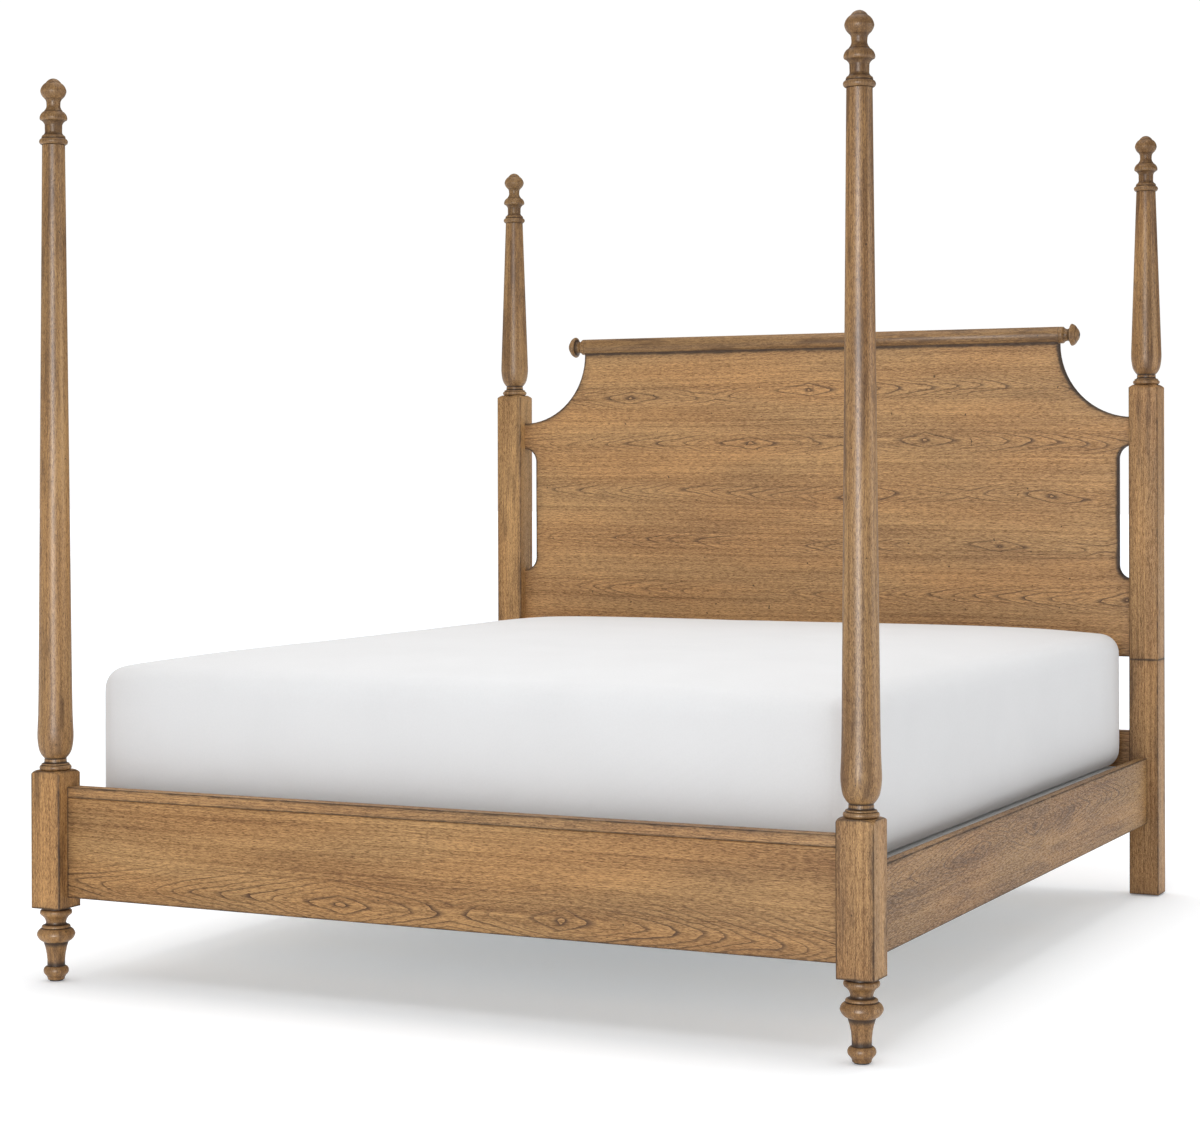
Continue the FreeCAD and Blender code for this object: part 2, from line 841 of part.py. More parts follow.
# Rails and boards
def build_cross_rail(label, outline, middle_y, low, tenon_outline):
    """A board between two posts, drawn in section, with tenons where it has an outline for them."""
    body = new_body(label)
    sketch = new_sketch(body, "YZ_Plane", "Section")
    draw_outline(sketch, outline)
    doc.recompute()
    add_pad(body, sketch, inner_x * 2, symmetric=True)
    if tenon_outline:
        tenons = new_sketch(body, "YZ_Plane", "TenonOutline")
        draw_outline(tenons, tenon_outline)
        doc.recompute()
        tenon_span = (inner_x + rail_tenon_length - lift_gap) * 2
        add_pad(body, tenons, tenon_span, "Tenons", symmetric=True)
    place(body, nothing, middle_y, low)
    keep(body, label)


def board_section(half_thickness, height, top_round, top_chamfer):
    """A board on edge: eased below, and rounded or chamfered at its front edge above."""
    turn = quarter_turn_share
    points = [
        (edge_radius - half_thickness, nothing),
        (half_thickness, nothing),
    ]
    if top_round:
        points += [
            (half_thickness, height - edge_radius, turn),
            (half_thickness - edge_radius, height),
            (edge_radius - half_thickness, height, turn),
            (-half_thickness, height - edge_radius),
        ]
    if top_chamfer:
        points += [
            (half_thickness, height),
            (groove_width - half_thickness, height),
            (-half_thickness, height - groove_width),
        ]
    points.append((-half_thickness, edge_radius, turn))
    return points


def build_footboard():
    """The board between the front blocks, and the strip above its scribed line."""
    half_thickness = foot_rail_thickness / 2
    tenon_low = foot_tenon_low - foot_rail_bottom
    half_tenon = foot_tenon_thickness / 2
    tenon_top = tenon_low + foot_tenon_height
    tenon = rectangle(-half_tenon, half_tenon, tenon_low, tenon_top)
    section = board_section(half_thickness, foot_rail_height, False, True)
    build_cross_rail("footboard_rail", section, foot_rail_middle_y, foot_rail_bottom, tenon)
    cap = board_section(half_thickness, cap_height, True, False)
    build_cross_rail("footboard_cap", cap, foot_rail_middle_y, foot_rail_top, None)


def build_headboard_lower_rail():
    """The board between the rear legs, in the plane of the panel above it."""
    half_thickness = panel_thickness / 2
    tenon_low = foot_tenon_low - foot_rail_bottom
    half_tenon = panel_tenon_thickness / 2
    tenon_top = tenon_low + foot_tenon_height
    tenon = rectangle(-half_tenon, half_tenon, tenon_low, tenon_top)
    section = board_section(half_thickness, foot_rail_height + cap_height, True, False)
    build_cross_rail("headboard_lower_rail", section, panel_middle_y, foot_rail_bottom, tenon)


def build_side_rail(label, side):
    """A side rail from post to post, with a recess for the hook plate in each end."""
    body = new_body(label)
    sketch = new_sketch(body, "XZ_Plane", "Section")
    half_height = side_rail_height / 2
    draw_outline(sketch, rounded_rectangle(side_rail_thickness / 2, half_height, edge_radius))
    doc.recompute()
    length = rear_face_y - front_face_y
    add_pad(body, sketch, length, symmetric=True)
    low = -plate_height / 2
    plate_recess(body, "XZ_Plane", length / 2, nothing, low, False)
    plate_recess(body, "XZ_Plane", -length / 2, nothing, low, True)
    place(body, side_rail_middle_x * side, side_rail_middle_y, side_rail_bottom + half_height)
    keep(body, label)


def build_board(label, low, spans):
    """A plain squared board from its lowest corner and its three spans."""
    board = doc.addObject("Part::Box", label)
    for prop, span in zip(("Length", "Width", "Height"), spans):
        setattr(board, prop, span.value)
        bind(board, prop, span)
    place(board, low[0], low[1], low[2])
    return keep(board, label)


def build_ledgers():
    """The cleats inside the side rails that carry the slats."""
    length = rear_face_y - front_face_y - ledger_end_gap * 2
    spans = (ledger_side, length, ledger_side)
    for side_name, side in sides:
        low_x = side_rail_inner_x - ledger_side if side > 0 else -side_rail_inner_x
        low = (low_x, front_face_y + ledger_end_gap, ledger_bottom)
        build_board(f"slat_ledger_{side_name}", low, spans)


# Slats, with a stiffer one in the middle that stands on three legs
slat_half_length = side_rail_inner_x - slat_end_gap
slat_count = 5
support_slat_number = slat_count // 2
slat_spacing = (rear_face_y - front_face_y - first_slat_distance * 2) / (slat_count - 1)
support_legs = (("left", -1), ("centre", 0), ("right", 1))
support_leg_spread_share = 0.475
support_leg_top = slat_bottom
leg_bolt_bore = leg_bolt_width + joint_gap
insert_bore = insert_width + joint_gap
stem_room = leveller_stem_width + joint_gap * 4


def support_leg_x(number):
    return slat_half_length * support_leg_spread_share * number if number else nothing


def build_slats():
    spans = (slat_half_length * 2, slat_width, slat_thickness)
    for number in range(slat_count):
        if number == support_slat_number:
            continue
        middle_y = side_rail_middle_y + slat_spacing * (number - support_slat_number)
        low = (-slat_half_length, middle_y - slat_width / 2, slat_bottom)
        build_board(f"slat_{number + 1}", low, spans)


def build_support_slat():
    """The middle slat, with counterbored holes for the bolts into its legs."""
    label = "support_slat"
    body = new_body(label)
    sketch = new_sketch(body, "XY_Plane", "SlatOutline")
    half_width = slat_width / 2
    draw_outline(sketch, rectangle(-slat_half_length, slat_half_length, -half_width, half_width))
    doc.recompute()
    add_pad(body, sketch, slat_thickness)
    centres = []
    for name, number in support_legs:
        centres.append((support_leg_x(number), nothing))
    bore(body, "XY_Plane", slat_thickness, centres, leg_bolt_bore, slat_thickness, False, "BoltBore")
    head_bore = leg_bolt_head_width + joint_gap
    head_depth = leg_bolt_head_height + joint_gap
    bore(body, "XY_Plane", slat_thickness, centres, head_bore, head_depth, False, "HeadBore")
    place(body, nothing, side_rail_middle_y, slat_bottom)
    keep(body, label)


def build_support_leg(name, number):
    """A leg under the middle slat, bored for its bolt above and its levelling foot below."""
    label = f"support_leg_{name}"
    length = support_leg_top - support_leg_lift
    body = new_body(label)
    sketch = new_sketch(body, "XY_Plane", "LegSquare")
    half_side = support_leg_side / 2
    draw_outline(sketch, rounded_rectangle(half_side, half_side, edge_radius))
    doc.recompute()
    add_pad(body, sketch, length)
    centres = [(nothing, nothing)]
    bolt_depth = leg_bolt_length - slat_thickness + joint_gap
    stem_depth = leveller_stem_height - support_leg_lift + leveller_pad_height + leveller_travel * 2
    bore(body, "XY_Plane", length, centres, leg_bolt_bore, bolt_depth, False, "BoltBore")
    bore(body, "XY_Plane", nothing, centres, stem_room, stem_depth, True, "StemBore")
    bore(body, "XY_Plane", nothing, centres, insert_bore, insert_height, True, "InsertBore")
    place(body, support_leg_x(number), side_rail_middle_y, support_leg_lift)
    keep(body, label)


def build_leveller(name, number):
    """A foot that screws in and out of its leg: a pad on a stem."""
    label = f"leveller_{name}"
    half_stem = leveller_stem_width / 2 - joint_gap
    stem_top = leveller_pad_height + leveller_stem_height
    points = [
        (nothing, nothing),
        (leveller_pad_width / 2, nothing),
        (leveller_pad_width / 2, leveller_pad_height / 2),
        (half_stem + leveller_pad_height / 2, leveller_pad_height),
        (half_stem, leveller_pad_height),
        (half_stem, stem_top),
        (nothing, stem_top),
    ]
    body = turned_body(label, points)
    place(body, support_leg_x(number), side_rail_middle_y, nothing)
    keep(body, label)


def build_insert(number):
    """A threaded bush in the bottom of a support leg, drawn without its thread."""
    inner = leveller_stem_width / 2 + joint_gap
    outer = insert_width / 2
    points = rectangle(inner, outer, nothing, insert_height)
    body = turned_body("LevellerInsert", points)
    place(body, support_leg_x(number), side_rail_middle_y, support_leg_lift)
    return body


def build_leg_bolt(number):
    """A flat-headed bolt through the middle slat into a support leg."""
    half_bolt = leg_bolt_width / 2
    half_head = leg_bolt_head_width / 2
    points = [
        (nothing, -leg_bolt_length),
        (half_bolt, -leg_bolt_length),
        (half_bolt, -leg_bolt_head_height),
        (half_head, -leg_bolt_head_height),
        (half_head, nothing),
        (nothing, nothing),
    ]
    body = turned_body("LegBolt", points)
    place(body, support_leg_x(number), side_rail_middle_y, slat_top - joint_gap)
    return body


def build_support():
    build_support_slat()
    for name, number in support_legs:
        build_support_leg(name, number)
        build_leveller(name, number)
    group("leveller_inserts", [build_insert(number) for name, number in support_legs])
    group("support_leg_bolts", [build_leg_bolt(number) for name, number in support_legs])


def build_glides():
    """Round plastic glides under the four posts."""
    glides = []
    for side_name, side in sides:
        for y in (front_y, rear_y):
            glide = doc.addObject("Part::Cylinder", "FloorGlide")
            glide.Radius = (glide_width / 2).value
            bind(glide, "Radius", glide_width / 2)
            glide.Height = glide_height.value
            bind(glide, "Height", glide_height)
            place(glide, post_x * side, y, nothing)
            glides.append(glide)
    group("floor_glides", glides)


# Foundation and mattress: lofts through rounded rectangles
def build_cushion(label, sections, low):
    """A soft block, from pairs of a height and an inset from its widest outline."""
    body = new_body(label)
    sketches = []
    for number, (height, inset) in enumerate(sections):
        sketch = new_sketch(body, "XY_Plane", f"Section{number}", height)
        half_x = bedding_width / 2 - inset
        half_y = bedding_length / 2 - inset
        draw_outline(sketch, rounded_rectangle(half_x, half_y, bedding_corner_radius))
        sketches.append(sketch)
    doc.recompute()
    loft = body.newObject("PartDesign::AdditiveLoft", "Loft")
    loft.Profile = sketches[0]
    loft.Sections = sketches[1:]
    loft.Ruled = True
    doc.recompute()
    place(body, nothing, bedding_middle_y, low)
    keep(body, label)


edge_round_shares = [(0.0, 1.0), (0.11, 0.55), (0.4, 0.17), (1.0, 0.0)]
waist_height_share = 0.5
crown_sections_shares = [(0.72, 0.22), (1.0, 0.62)]


def build_mattress():
    """Rounded at its edges, drawn in a little at its waist and crowned on top."""
    sections = []
    for rise, inset in edge_round_shares:
        sections.append((mattress_bottom_round * rise, mattress_bottom_round * inset))
    sections.append((mattress_height * waist_height_share, mattress_waist))
    for rise, inset in reversed(edge_round_shares):
        height = mattress_height - mattress_top_round * rise
        sections.append((height, mattress_top_round * inset))
    for rise, inset in crown_sections_shares:
        height = mattress_height + mattress_crown * rise
        sections.append((height, mattress_top_round + bedding_width / 2 * inset))
    build_cushion("mattress", sections, mattress_bottom)


def build_foundation():
    """The low box under the mattress, a little smaller all round."""
    edge = foundation_edge_round
    top = foundation_height
    sections = [
        (nothing, foundation_margin + edge),
        (edge, foundation_margin),
        (top - edge, foundation_margin),
        (top, foundation_margin + edge),
    ]
    build_cushion("foundation", sections, foundation_bottom)


build_posts()
build_headboard_panel()
build_headboard_roll()
build_roll_knobs()
build_headboard_lower_rail()
build_footboard()
for rail_side_name, rail_side in sides:
    build_side_rail(f"side_rail_{rail_side_name}", rail_side)
build_fittings()
build_ledgers()
build_slats()
build_support()
build_glides()
build_foundation()
build_mattress()
doc.recompute()

# Check every object, then write each piece to its own file
for item in doc.Objects:
    if "Invalid" in item.State or "Error" in item.State:
        raise ValueError(f"{item.Label}: {item.State}")
for piece in pieces:
    if piece.Shape.isNull() or not piece.Shape.isValid():
        raise ValueError(f"{piece.Label}: bad shape")
for piece in pieces:
    piece.Shape.exportStep(f"parts/{piece.Label}.step")
    solids = len(piece.Shape.Solids)
    print(f"{piece.Label}: {solids} solids, {piece.Shape.Volume:.0f} cubic mm")
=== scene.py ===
import math

import bmesh
import bpy
import numpy as np
from mathutils import Matrix, Vector


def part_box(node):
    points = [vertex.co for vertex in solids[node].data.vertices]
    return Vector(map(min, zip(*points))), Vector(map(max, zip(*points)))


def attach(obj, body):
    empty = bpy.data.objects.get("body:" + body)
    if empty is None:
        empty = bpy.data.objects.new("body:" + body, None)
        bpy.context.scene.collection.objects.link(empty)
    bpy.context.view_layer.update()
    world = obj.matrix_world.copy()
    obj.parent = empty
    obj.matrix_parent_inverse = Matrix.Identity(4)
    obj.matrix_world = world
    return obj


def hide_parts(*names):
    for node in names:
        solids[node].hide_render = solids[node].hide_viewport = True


# The bed in metres: +Z up, +X to the right as seen from the foot end, +Y towards the headboard.
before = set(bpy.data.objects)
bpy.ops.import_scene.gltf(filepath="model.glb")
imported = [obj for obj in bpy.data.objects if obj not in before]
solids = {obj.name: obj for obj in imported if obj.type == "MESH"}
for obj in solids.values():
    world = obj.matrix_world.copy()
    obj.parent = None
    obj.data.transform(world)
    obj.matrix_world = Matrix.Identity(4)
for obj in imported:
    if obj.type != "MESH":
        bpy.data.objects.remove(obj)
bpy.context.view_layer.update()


# Turned shafts of the four posts. Each is solid oak, turned from one length with beads and a neck
# at its foot, then stained golden brown, with a dark glaze wiped off the curves and left in the
# hollows. The hollows also get painted shade, and the beads painted highlights as well as wear. A
# round tenon holds it in the square part below.
class Nodes:
    """The nodes of a material, or of the light in the room, while they are being joined."""

    # The mix node has sockets for each kind of value. These are the ones for colours.
    MIX_SHARE = 0
    MIX_FIRST = 6
    MIX_SECOND = 7
    MIX_RESULT = 2

    def __init__(self, owner):
        owner.use_nodes = True
        self.nodes = owner.node_tree.nodes
        self.links = owner.node_tree.links

    def feed(self, socket, value):
        """Link the socket to another node, or set it."""
        if isinstance(value, bpy.types.NodeSocket):
            self.links.new(value, socket)
        else:
            socket.default_value = value

    def node(self, kind, values=(), **settings):
        """A new node with its settings and what goes into it."""
        made = self.nodes.new(f"ShaderNode{kind}")
        for key, value in settings.items():
            setattr(made, key, value)
        for key, value in dict(values).items():
            self.feed(made.inputs[key], value)
        return made

    def math(self, operation, first, second=0.0, third=0.0):
        values = {0: first, 1: second, 2: third}
        return self.node("Math", values, operation=operation).outputs[0]

    def vector_math(self, operation, first, second=(0, 0, 0)):
        made = self.node("VectorMath", {0: first, 1: second}, operation=operation)
        return made.outputs["Value" if operation in ("LENGTH", "DOT_PRODUCT") else "Vector"]

    def rise(self, value, low, high):
        """0 below low, 1 above high, smooth between."""
        values = {"Value": value, "From Min": low, "From Max": high}
        return self.node("MapRange", values, interpolation_type="SMOOTHSTEP").outputs[0]

    def fall(self, value, low, high):
        """1 below low, 0 above high, smooth between."""
        return self.math("SUBTRACT", 1.0, self.rise(value, low, high))

    def swing(self, value, size):
        """From -size/2 to size/2 as the value goes from 0 to 1."""
        return self.math("MULTIPLY_ADD", value, size, -size / 2)

    def at_least(self, value, least):
        """From least to 1 as the value goes from 0 to 1."""
        return self.math("MULTIPLY_ADD", value, 1 - least, least)

    def hypotenuse(self, first, second):
        squares = self.math("ADD", self.math("POWER", first, 2), self.math("POWER", second, 2))
        return self.math("SQRT", squares)

    def vector(self, x, y, z):
        return self.node("CombineXYZ", {0: x, 1: y, 2: z}).outputs[0]

    def split(self, place, axes=(0, 1, 2)):
        """The coordinates of a place, in the order of the axes."""
        spot = self.node("SeparateXYZ", {0: place}).outputs
        return [spot[axis] for axis in axes]

    def mix(self, share, first, second, blend="MIX"):
        mixer = self.node("Mix", data_type="RGBA", blend_type=blend)
        self.feed(mixer.inputs[self.MIX_SHARE], share)
        self.feed(mixer.inputs[self.MIX_FIRST], first)
        self.feed(mixer.inputs[self.MIX_SECOND], second)
        return mixer.outputs[self.MIX_RESULT]

    def noise(self, place, rate, finer=2, rough=0.5):
        """Soft marks, so many per metre, with finer ones among them that are rough times as strong."""
        values = {"Vector": place, "Scale": rate, "Detail": finer, "Roughness": rough}
        return self.node("TexNoise", values).outputs["Fac"]

    def grain_noise(self, place, along, across, finer=1, rough=0.5):
        """Marks drawn out along the grain, so many per metre along it and across it."""
        drawn_out = self.vector_math("MULTIPLY", place, (along, across, across))
        return self.noise(drawn_out, 1, finer, rough)


class Finish(Nodes):
    """A material that is worked out from the place on the bed."""

    def __init__(self, name, roughness=0.5):
        self.material = bpy.data.materials.new(name)
        super().__init__(self.material)
        self.shader = self.nodes["Principled BSDF"]
        self.set("Roughness", roughness)

    def set(self, socket, value):
        self.feed(self.shader.inputs[socket], value)

    def place(self):
        return self.node("TexCoord").outputs["Object"]

    def attribute(self, name):
        return self.node("Attribute", attribute_name=name).outputs["Fac"]

    def bump(self, height, strength, depth):
        values = {"Height": height, "Strength": strength, "Distance": depth}
        self.set("Normal", self.node("Bump", values).outputs[0])


WANDER_MARKS = (1.7, 1)
WANDER = 0.07
CALM_SHARE = 0.3
BEND_MARKS = (5, 24, 3)
BEND = 0.02


class Grain:
    """Where a place on the piece lies in the log that it was cut from.

    The log is straight, it wanders a little for the fibres, and it wanders and bends for the rings."""

    def __init__(self, finish, axes, heart):
        along, across, through = finish.split(finish.place(), axes)
        self.on_bed = finish.vector(along, across, through)
        across = finish.math("SUBTRACT", across, heart[0])
        through = finish.math("SUBTRACT", through, heart[1])
        self.straight = finish.vector(along, across, through)
        wander = finish.swing(finish.noise(self.straight, *WANDER_MARKS), WANDER)
        self.calm = finish.vector(along, finish.math("MULTIPLY_ADD", wander, CALM_SHARE, across), through)
        bend = finish.swing(finish.grain_noise(self.straight, *BEND_MARKS), BEND)
        across = finish.math("ADD", finish.math("ADD", across, wander), bend)
        self.bent = finish.vector(along, across, through)
        self.along = along
        self.across = across
        self.through = through


EYE_DRIFT_MARKS = (4, 1)
EYE_DRIFT = 0.12
EYE_ROW_SHARE = 1.37


def from_eye(finish, grain, band, middle, apart):
    """How far along the piece a place lies from the eyes of its figure, where the rings close."""
    shift = finish.swing(finish.noise(grain.bent, *EYE_DRIFT_MARKS), EYE_DRIFT)
    shift = finish.math("SUBTRACT", shift, middle)
    if band:
        row = finish.math("FLOOR", finish.math("MULTIPLY_ADD", grain.across, 1 / band, 0.5))
        shift = finish.math("MULTIPLY_ADD", row, apart * EYE_ROW_SHARE, shift)
    from_middle = finish.math("ABSOLUTE", finish.math("ADD", grain.along, shift))
    return finish.math("ABSOLUTE", finish.math("SUBTRACT", from_middle, apart))


RAGGED_MARKS = (9, 70, 4, 0.6)
RAGGED_SHARE = 0.65
RING_DRIFT_MARKS = (2.2, 2)
RING_DRIFT = 0.05
UNEVEN_RATE_SHARE = 0.35
UNEVEN_RINGS = 1.6
LATEWOOD_SHARE = 0.38
WEAKEST_RING_SHARE = 0.38
FLAME_CORE = 0.01
FLAME_MARKS = (2.2, 6)
FLAME_LEVELS = (0.32, 0.5)
WEAKEST_FLAME_SHARE = 0.25
PLAIN_WOOD_SHARE = 0.04


def growth_rings(finish, grain, ring, band, spread, eye):
    """The dark latewood of the log's yearly rings, strongest where the figure flames."""
    side = finish.math("PINGPONG", grain.across, band / 2) if band else grain.across
    radius = finish.hypotenuse(side, grain.through)
    ragged = finish.grain_noise(grain.bent, *RAGGED_MARKS)
    radius = finish.math("ADD", radius, finish.swing(ragged, ring * RAGGED_SHARE))
    if eye:
        along = from_eye(finish, grain, band, eye["middle"], eye["apart"])
        radius = finish.math("MULTIPLY_ADD", along, eye["slope"], radius)
    else:
        drift = finish.noise(grain.bent, *RING_DRIFT_MARKS)
        radius = finish.math("ADD", radius, finish.swing(drift, RING_DRIFT))
    values = {"W": radius, "Scale": UNEVEN_RATE_SHARE / ring}
    uneven = finish.node("TexNoise", values, noise_dimensions="1D").outputs["Fac"]
    rings = finish.math("MULTIPLY_ADD", uneven, UNEVEN_RINGS, finish.math("DIVIDE", radius, ring))
    number = finish.math("FLOOR", rings)
    strength = finish.node("TexWhiteNoise", {"W": number}, noise_dimensions="1D").outputs[0]
    late = finish.fall(finish.math("FRACT", rings), 0.0, LATEWOOD_SHARE)
    late = finish.math("MULTIPLY", late, finish.at_least(strength, WEAKEST_RING_SHARE))
    if band:
        near = finish.fall(side, FLAME_CORE, spread)
        flame = finish.rise(finish.grain_noise(grain.straight, *FLAME_MARKS), *FLAME_LEVELS)
        near = finish.math("MULTIPLY", near, finish.at_least(flame, WEAKEST_FLAME_SHARE))
        late = finish.math("MULTIPLY", late, finish.at_least(near, PLAIN_WOOD_SHARE))
    return late


def from_arris(finish, low, high):
    """How far a place on a squared board lies from the nearest of its arrises."""
    middle = (low + high) / 2
    half = (high - low) / 2
    off_middle = finish.vector_math("ABSOLUTE", finish.vector_math("SUBTRACT", finish.place(), middle))
    x, y, z = finish.split(finish.vector_math("SUBTRACT", half, off_middle))
    further = finish.math("MINIMUM", finish.math("MAXIMUM", x, y), z)
    return finish.math("MAXIMUM", finish.math("MINIMUM", x, y), further)


RUBBED_MARKS = (24, 4, 0.6)
RUBBED_WIDTH_SHARE = 1.4
ARRIS_GLAZE_AND_SHADE_SHARE = 0.72
BESIDE_WIDTH_SHARE = 4.5
BESIDE_SHADE_SHARE = 0.18


def edge_glaze_and_shade(finish, edge, width):
    """The glaze along an edge, rubbed away in places, with a weak painted shade beside it. Where the
    edge meets another part, the darkening there is painted shade as well as glaze.
    """
    rubbed = finish.noise(finish.place(), *RUBBED_MARKS)
    edge = finish.math("ADD", edge, finish.swing(rubbed, width * RUBBED_WIDTH_SHARE))
    at_edge = finish.math("MULTIPLY", finish.fall(edge, 0.0, width), ARRIS_GLAZE_AND_SHADE_SHARE)
    shade_beside = finish.fall(edge, 0.0, width * BESIDE_WIDTH_SHARE)
    return finish.math("MULTIPLY_ADD", shade_beside, BESIDE_SHADE_SHARE, at_edge)


# Stain, latewood and glaze of the oak, with painted shade in its hollows and joints, and the wood
# where they are worn off, which also serves as a painted highlight on the beads
OAK_LIGHT = (0.6, 0.345, 0.14, 1)
OAK_DARK = (0.175, 0.078, 0.024, 1)
OAK_WARM = (1.03, 0.975, 0.89, 1)
OAK_COOL = (0.99, 1.0, 0.98, 1)
OAK_LINE = (0.07, 0.03, 0.012, 1)
OAK_GLAZE_AND_SHADE = (0.034, 0.018, 0.01, 1)
OAK_WORN_AND_LIT = (0.5, 0.33, 0.19, 1)

# Marks of the grain: how many per metre along the piece and across it, and how far each of them
# sways the tone between the dark stain and the light one
FIBRES_ACROSS = 850
FIBRE_SWING = -0.38
HAIRS_ACROSS = 1700
HAIRS_PER_FIBRE = 2.5
HAIR_SWING = -0.45
FIBRE_LEVELS = (0.36, 0.64)
LINE_MARKS = (1.6, 310, 0)
LINE_SWING = 0.6
STREAK_MARKS = (1.2, 90)
CLOUD_MARKS = (1.3, 10)
MIDDLE_TONE = 0.5
WARMTH_MARKS = (1.7, 9)
WARMTH_LEVELS = (0.33, 0.67)

# Open pores, patches where the glaze lies thicker, flecks of it, and how much of it each holds; the
# glaze and painted shade in hollows and along edges and joints, and the wear and painted highlight
# on beads
PORE_CROWDING = 0.5
PORE_LEVELS = (1.25, 1.75)
PORE_SHARE = 0.36
PATCH_MARKS = (5, 36, 2, 0.6)
PATCH_LEVELS = (0.5, 0.72)
FLECK_MARKS = (110, 0)
FLECK_LEVELS = (0.865, 0.88)
FLECK_SHARE = 0.8
HOLLOW_LEVELS = (0.05, 0.8)
HOLLOW_SHARE = 0.9
WEAR_AND_HIGHLIGHT_SHARE = 0.16
EDGE_GLAZE_AND_SHADE_WIDTH = 0.005

# How rough the wood, its fibres, the glaze and painted shade, and the lacquer are, and how deep the
# grain is
WOOD_ROUGHNESS = 0.38
FIBRE_ROUGHNESS = 0.3
GLAZE_AND_SHADE_ROUGHNESS = 0.15
LACQUER_ROUGHNESS = 0.38
FIBRE_HEIGHT_SHARE = 0.6
LATE_HEIGHT_SHARE = 0.3
GRAIN_BUMP = 0.4
GRAIN_DEPTH = 0.0006


def oak(name, axes, heart, ring, band=None, spread=None, eye=None, figure=0.6, edges=None, rim=None,
        edge_width=EDGE_GLAZE_AND_SHADE_WIDTH, aged=0.3, clouds=1.0, streaks=0.3, dashes=60, shade=1.0, shine=0.0,
        gloss=0.35):
    """Stained oak, cut from a log whose heart runs beside the piece.

    axes gives the coordinates along, across and through the piece; heart is where the log's middle
    lies across and through it, and ring is the width of a yearly ring. band repeats the figure every
    so often across the piece, as far as its spread on each side, and eye closes its rings at places
    that lie apart from its middle. figure is how dark the ring lines are. edges is the box whose
    arrises hold glaze, and painted shade where they meet other parts; rim works out how far other
    such edges are, and edge_width is how wide the glaze and painted shade lie there. On turned pieces
    the hollows get glaze and painted shade, and the beads are lightened as wear and painted highlight.
    aged is how dark its patches are, clouds and streaks how much the tone drifts, dashes how many
    fibres end in a metre, shade how much light the stain lets through, shine how thick the lacquer
    is, and gloss how much the wood under it reflects."""
    finish = Finish(name)
    grain = Grain(finish, axes, heart)
    late = growth_rings(finish, grain, ring, band, spread, eye)
    fibre = finish.rise(finish.grain_noise(grain.calm, dashes, FIBRES_ACROSS), *FIBRE_LEVELS)
    hair = finish.grain_noise(grain.calm, dashes * HAIRS_PER_FIBRE, HAIRS_ACROSS)
    hair = finish.rise(hair, *FIBRE_LEVELS)
    swings = (
        (fibre, FIBRE_SWING),
        (hair, HAIR_SWING),
        (finish.grain_noise(grain.calm, *LINE_MARKS), LINE_SWING),
        (finish.grain_noise(grain.calm, *STREAK_MARKS), streaks),
        (finish.grain_noise(grain.straight, *CLOUD_MARKS), clouds),
    )
    tone = MIDDLE_TONE
    for marks, size in swings:
        tone = finish.math("ADD", tone, finish.swing(marks, size))
    tone = finish.node("Clamp", {0: tone}).outputs[0]
    dark, light = ([part * shade for part in stain[:3]] + [1] for stain in (OAK_DARK, OAK_LIGHT))
    colour = finish.mix(tone, dark, light)
    warmth = finish.rise(finish.grain_noise(grain.on_bed, *WARMTH_MARKS), *WARMTH_LEVELS)
    colour = finish.mix(1.0, colour, finish.mix(warmth, OAK_COOL, OAK_WARM), "MULTIPLY")

    # Pores crowd along the ring lines. They, the lines and the patches are all dark brown.
    crowd = finish.math("MULTIPLY_ADD", late, PORE_CROWDING, finish.math("ADD", hair, fibre))
    pore = finish.rise(crowd, *PORE_LEVELS)
    patch = finish.rise(finish.grain_noise(grain.straight, *PATCH_MARKS), *PATCH_LEVELS)
    for marks, share in ((late, figure), (pore, PORE_SHARE), (patch, aged)):
        colour = finish.mix(finish.math("MULTIPLY", marks, share), colour, OAK_LINE)

    # Turned pieces hold the glaze in their hollows, and squared ones along their edges. Both also carry
    # painted shade there: in the deeper hollows, beside the edges, and where a board meets a post or
    # the roll.
    if edges:
        edge = from_arris(finish, *edges)
        if rim:
            edge = finish.math("MINIMUM", edge, rim(finish))
        glaze_and_shade = edge_glaze_and_shade(finish, edge, edge_width)
    else:
        glaze_and_shade = finish.rise(finish.attribute("hollow"), *HOLLOW_LEVELS)
        glaze_and_shade = finish.math("MULTIPLY", glaze_and_shade, HOLLOW_SHARE)
    fleck = finish.rise(finish.noise(finish.place(), *FLECK_MARKS), *FLECK_LEVELS)
    glaze_and_shade = finish.math("MAXIMUM", glaze_and_shade, finish.math("MULTIPLY", fleck, FLECK_SHARE))
    colour = finish.mix(glaze_and_shade, colour, OAK_GLAZE_AND_SHADE)
    # Painted highlight as well as wear: the beads of turned pieces are lightened.
    wear_and_highlight = finish.math("MULTIPLY", finish.attribute("wear_and_highlight"), WEAR_AND_HIGHLIGHT_SHARE)
    finish.set("Base Color", finish.mix(wear_and_highlight, colour, OAK_WORN_AND_LIT))

    dull = finish.math("MULTIPLY_ADD", fibre, FIBRE_ROUGHNESS, WOOD_ROUGHNESS)
    finish.set("Roughness", finish.math("MULTIPLY_ADD", glaze_and_shade, GLAZE_AND_SHADE_ROUGHNESS, dull))
    finish.set("Specular IOR Level", gloss)
    finish.set("Coat Weight", shine)
    finish.set("Coat Roughness", LACQUER_ROUGHNESS)
    height = finish.math("MULTIPLY", fibre, FIBRE_HEIGHT_SHARE)
    height = finish.math("SUBTRACT", height, finish.math("MULTIPLY", pore, FIBRE_HEIGHT_SHARE))
    height = finish.math("SUBTRACT", height, finish.math("MULTIPLY", late, LATE_HEIGHT_SHARE))
    finish.bump(height, GRAIN_BUMP, GRAIN_DEPTH)
    return finish.material


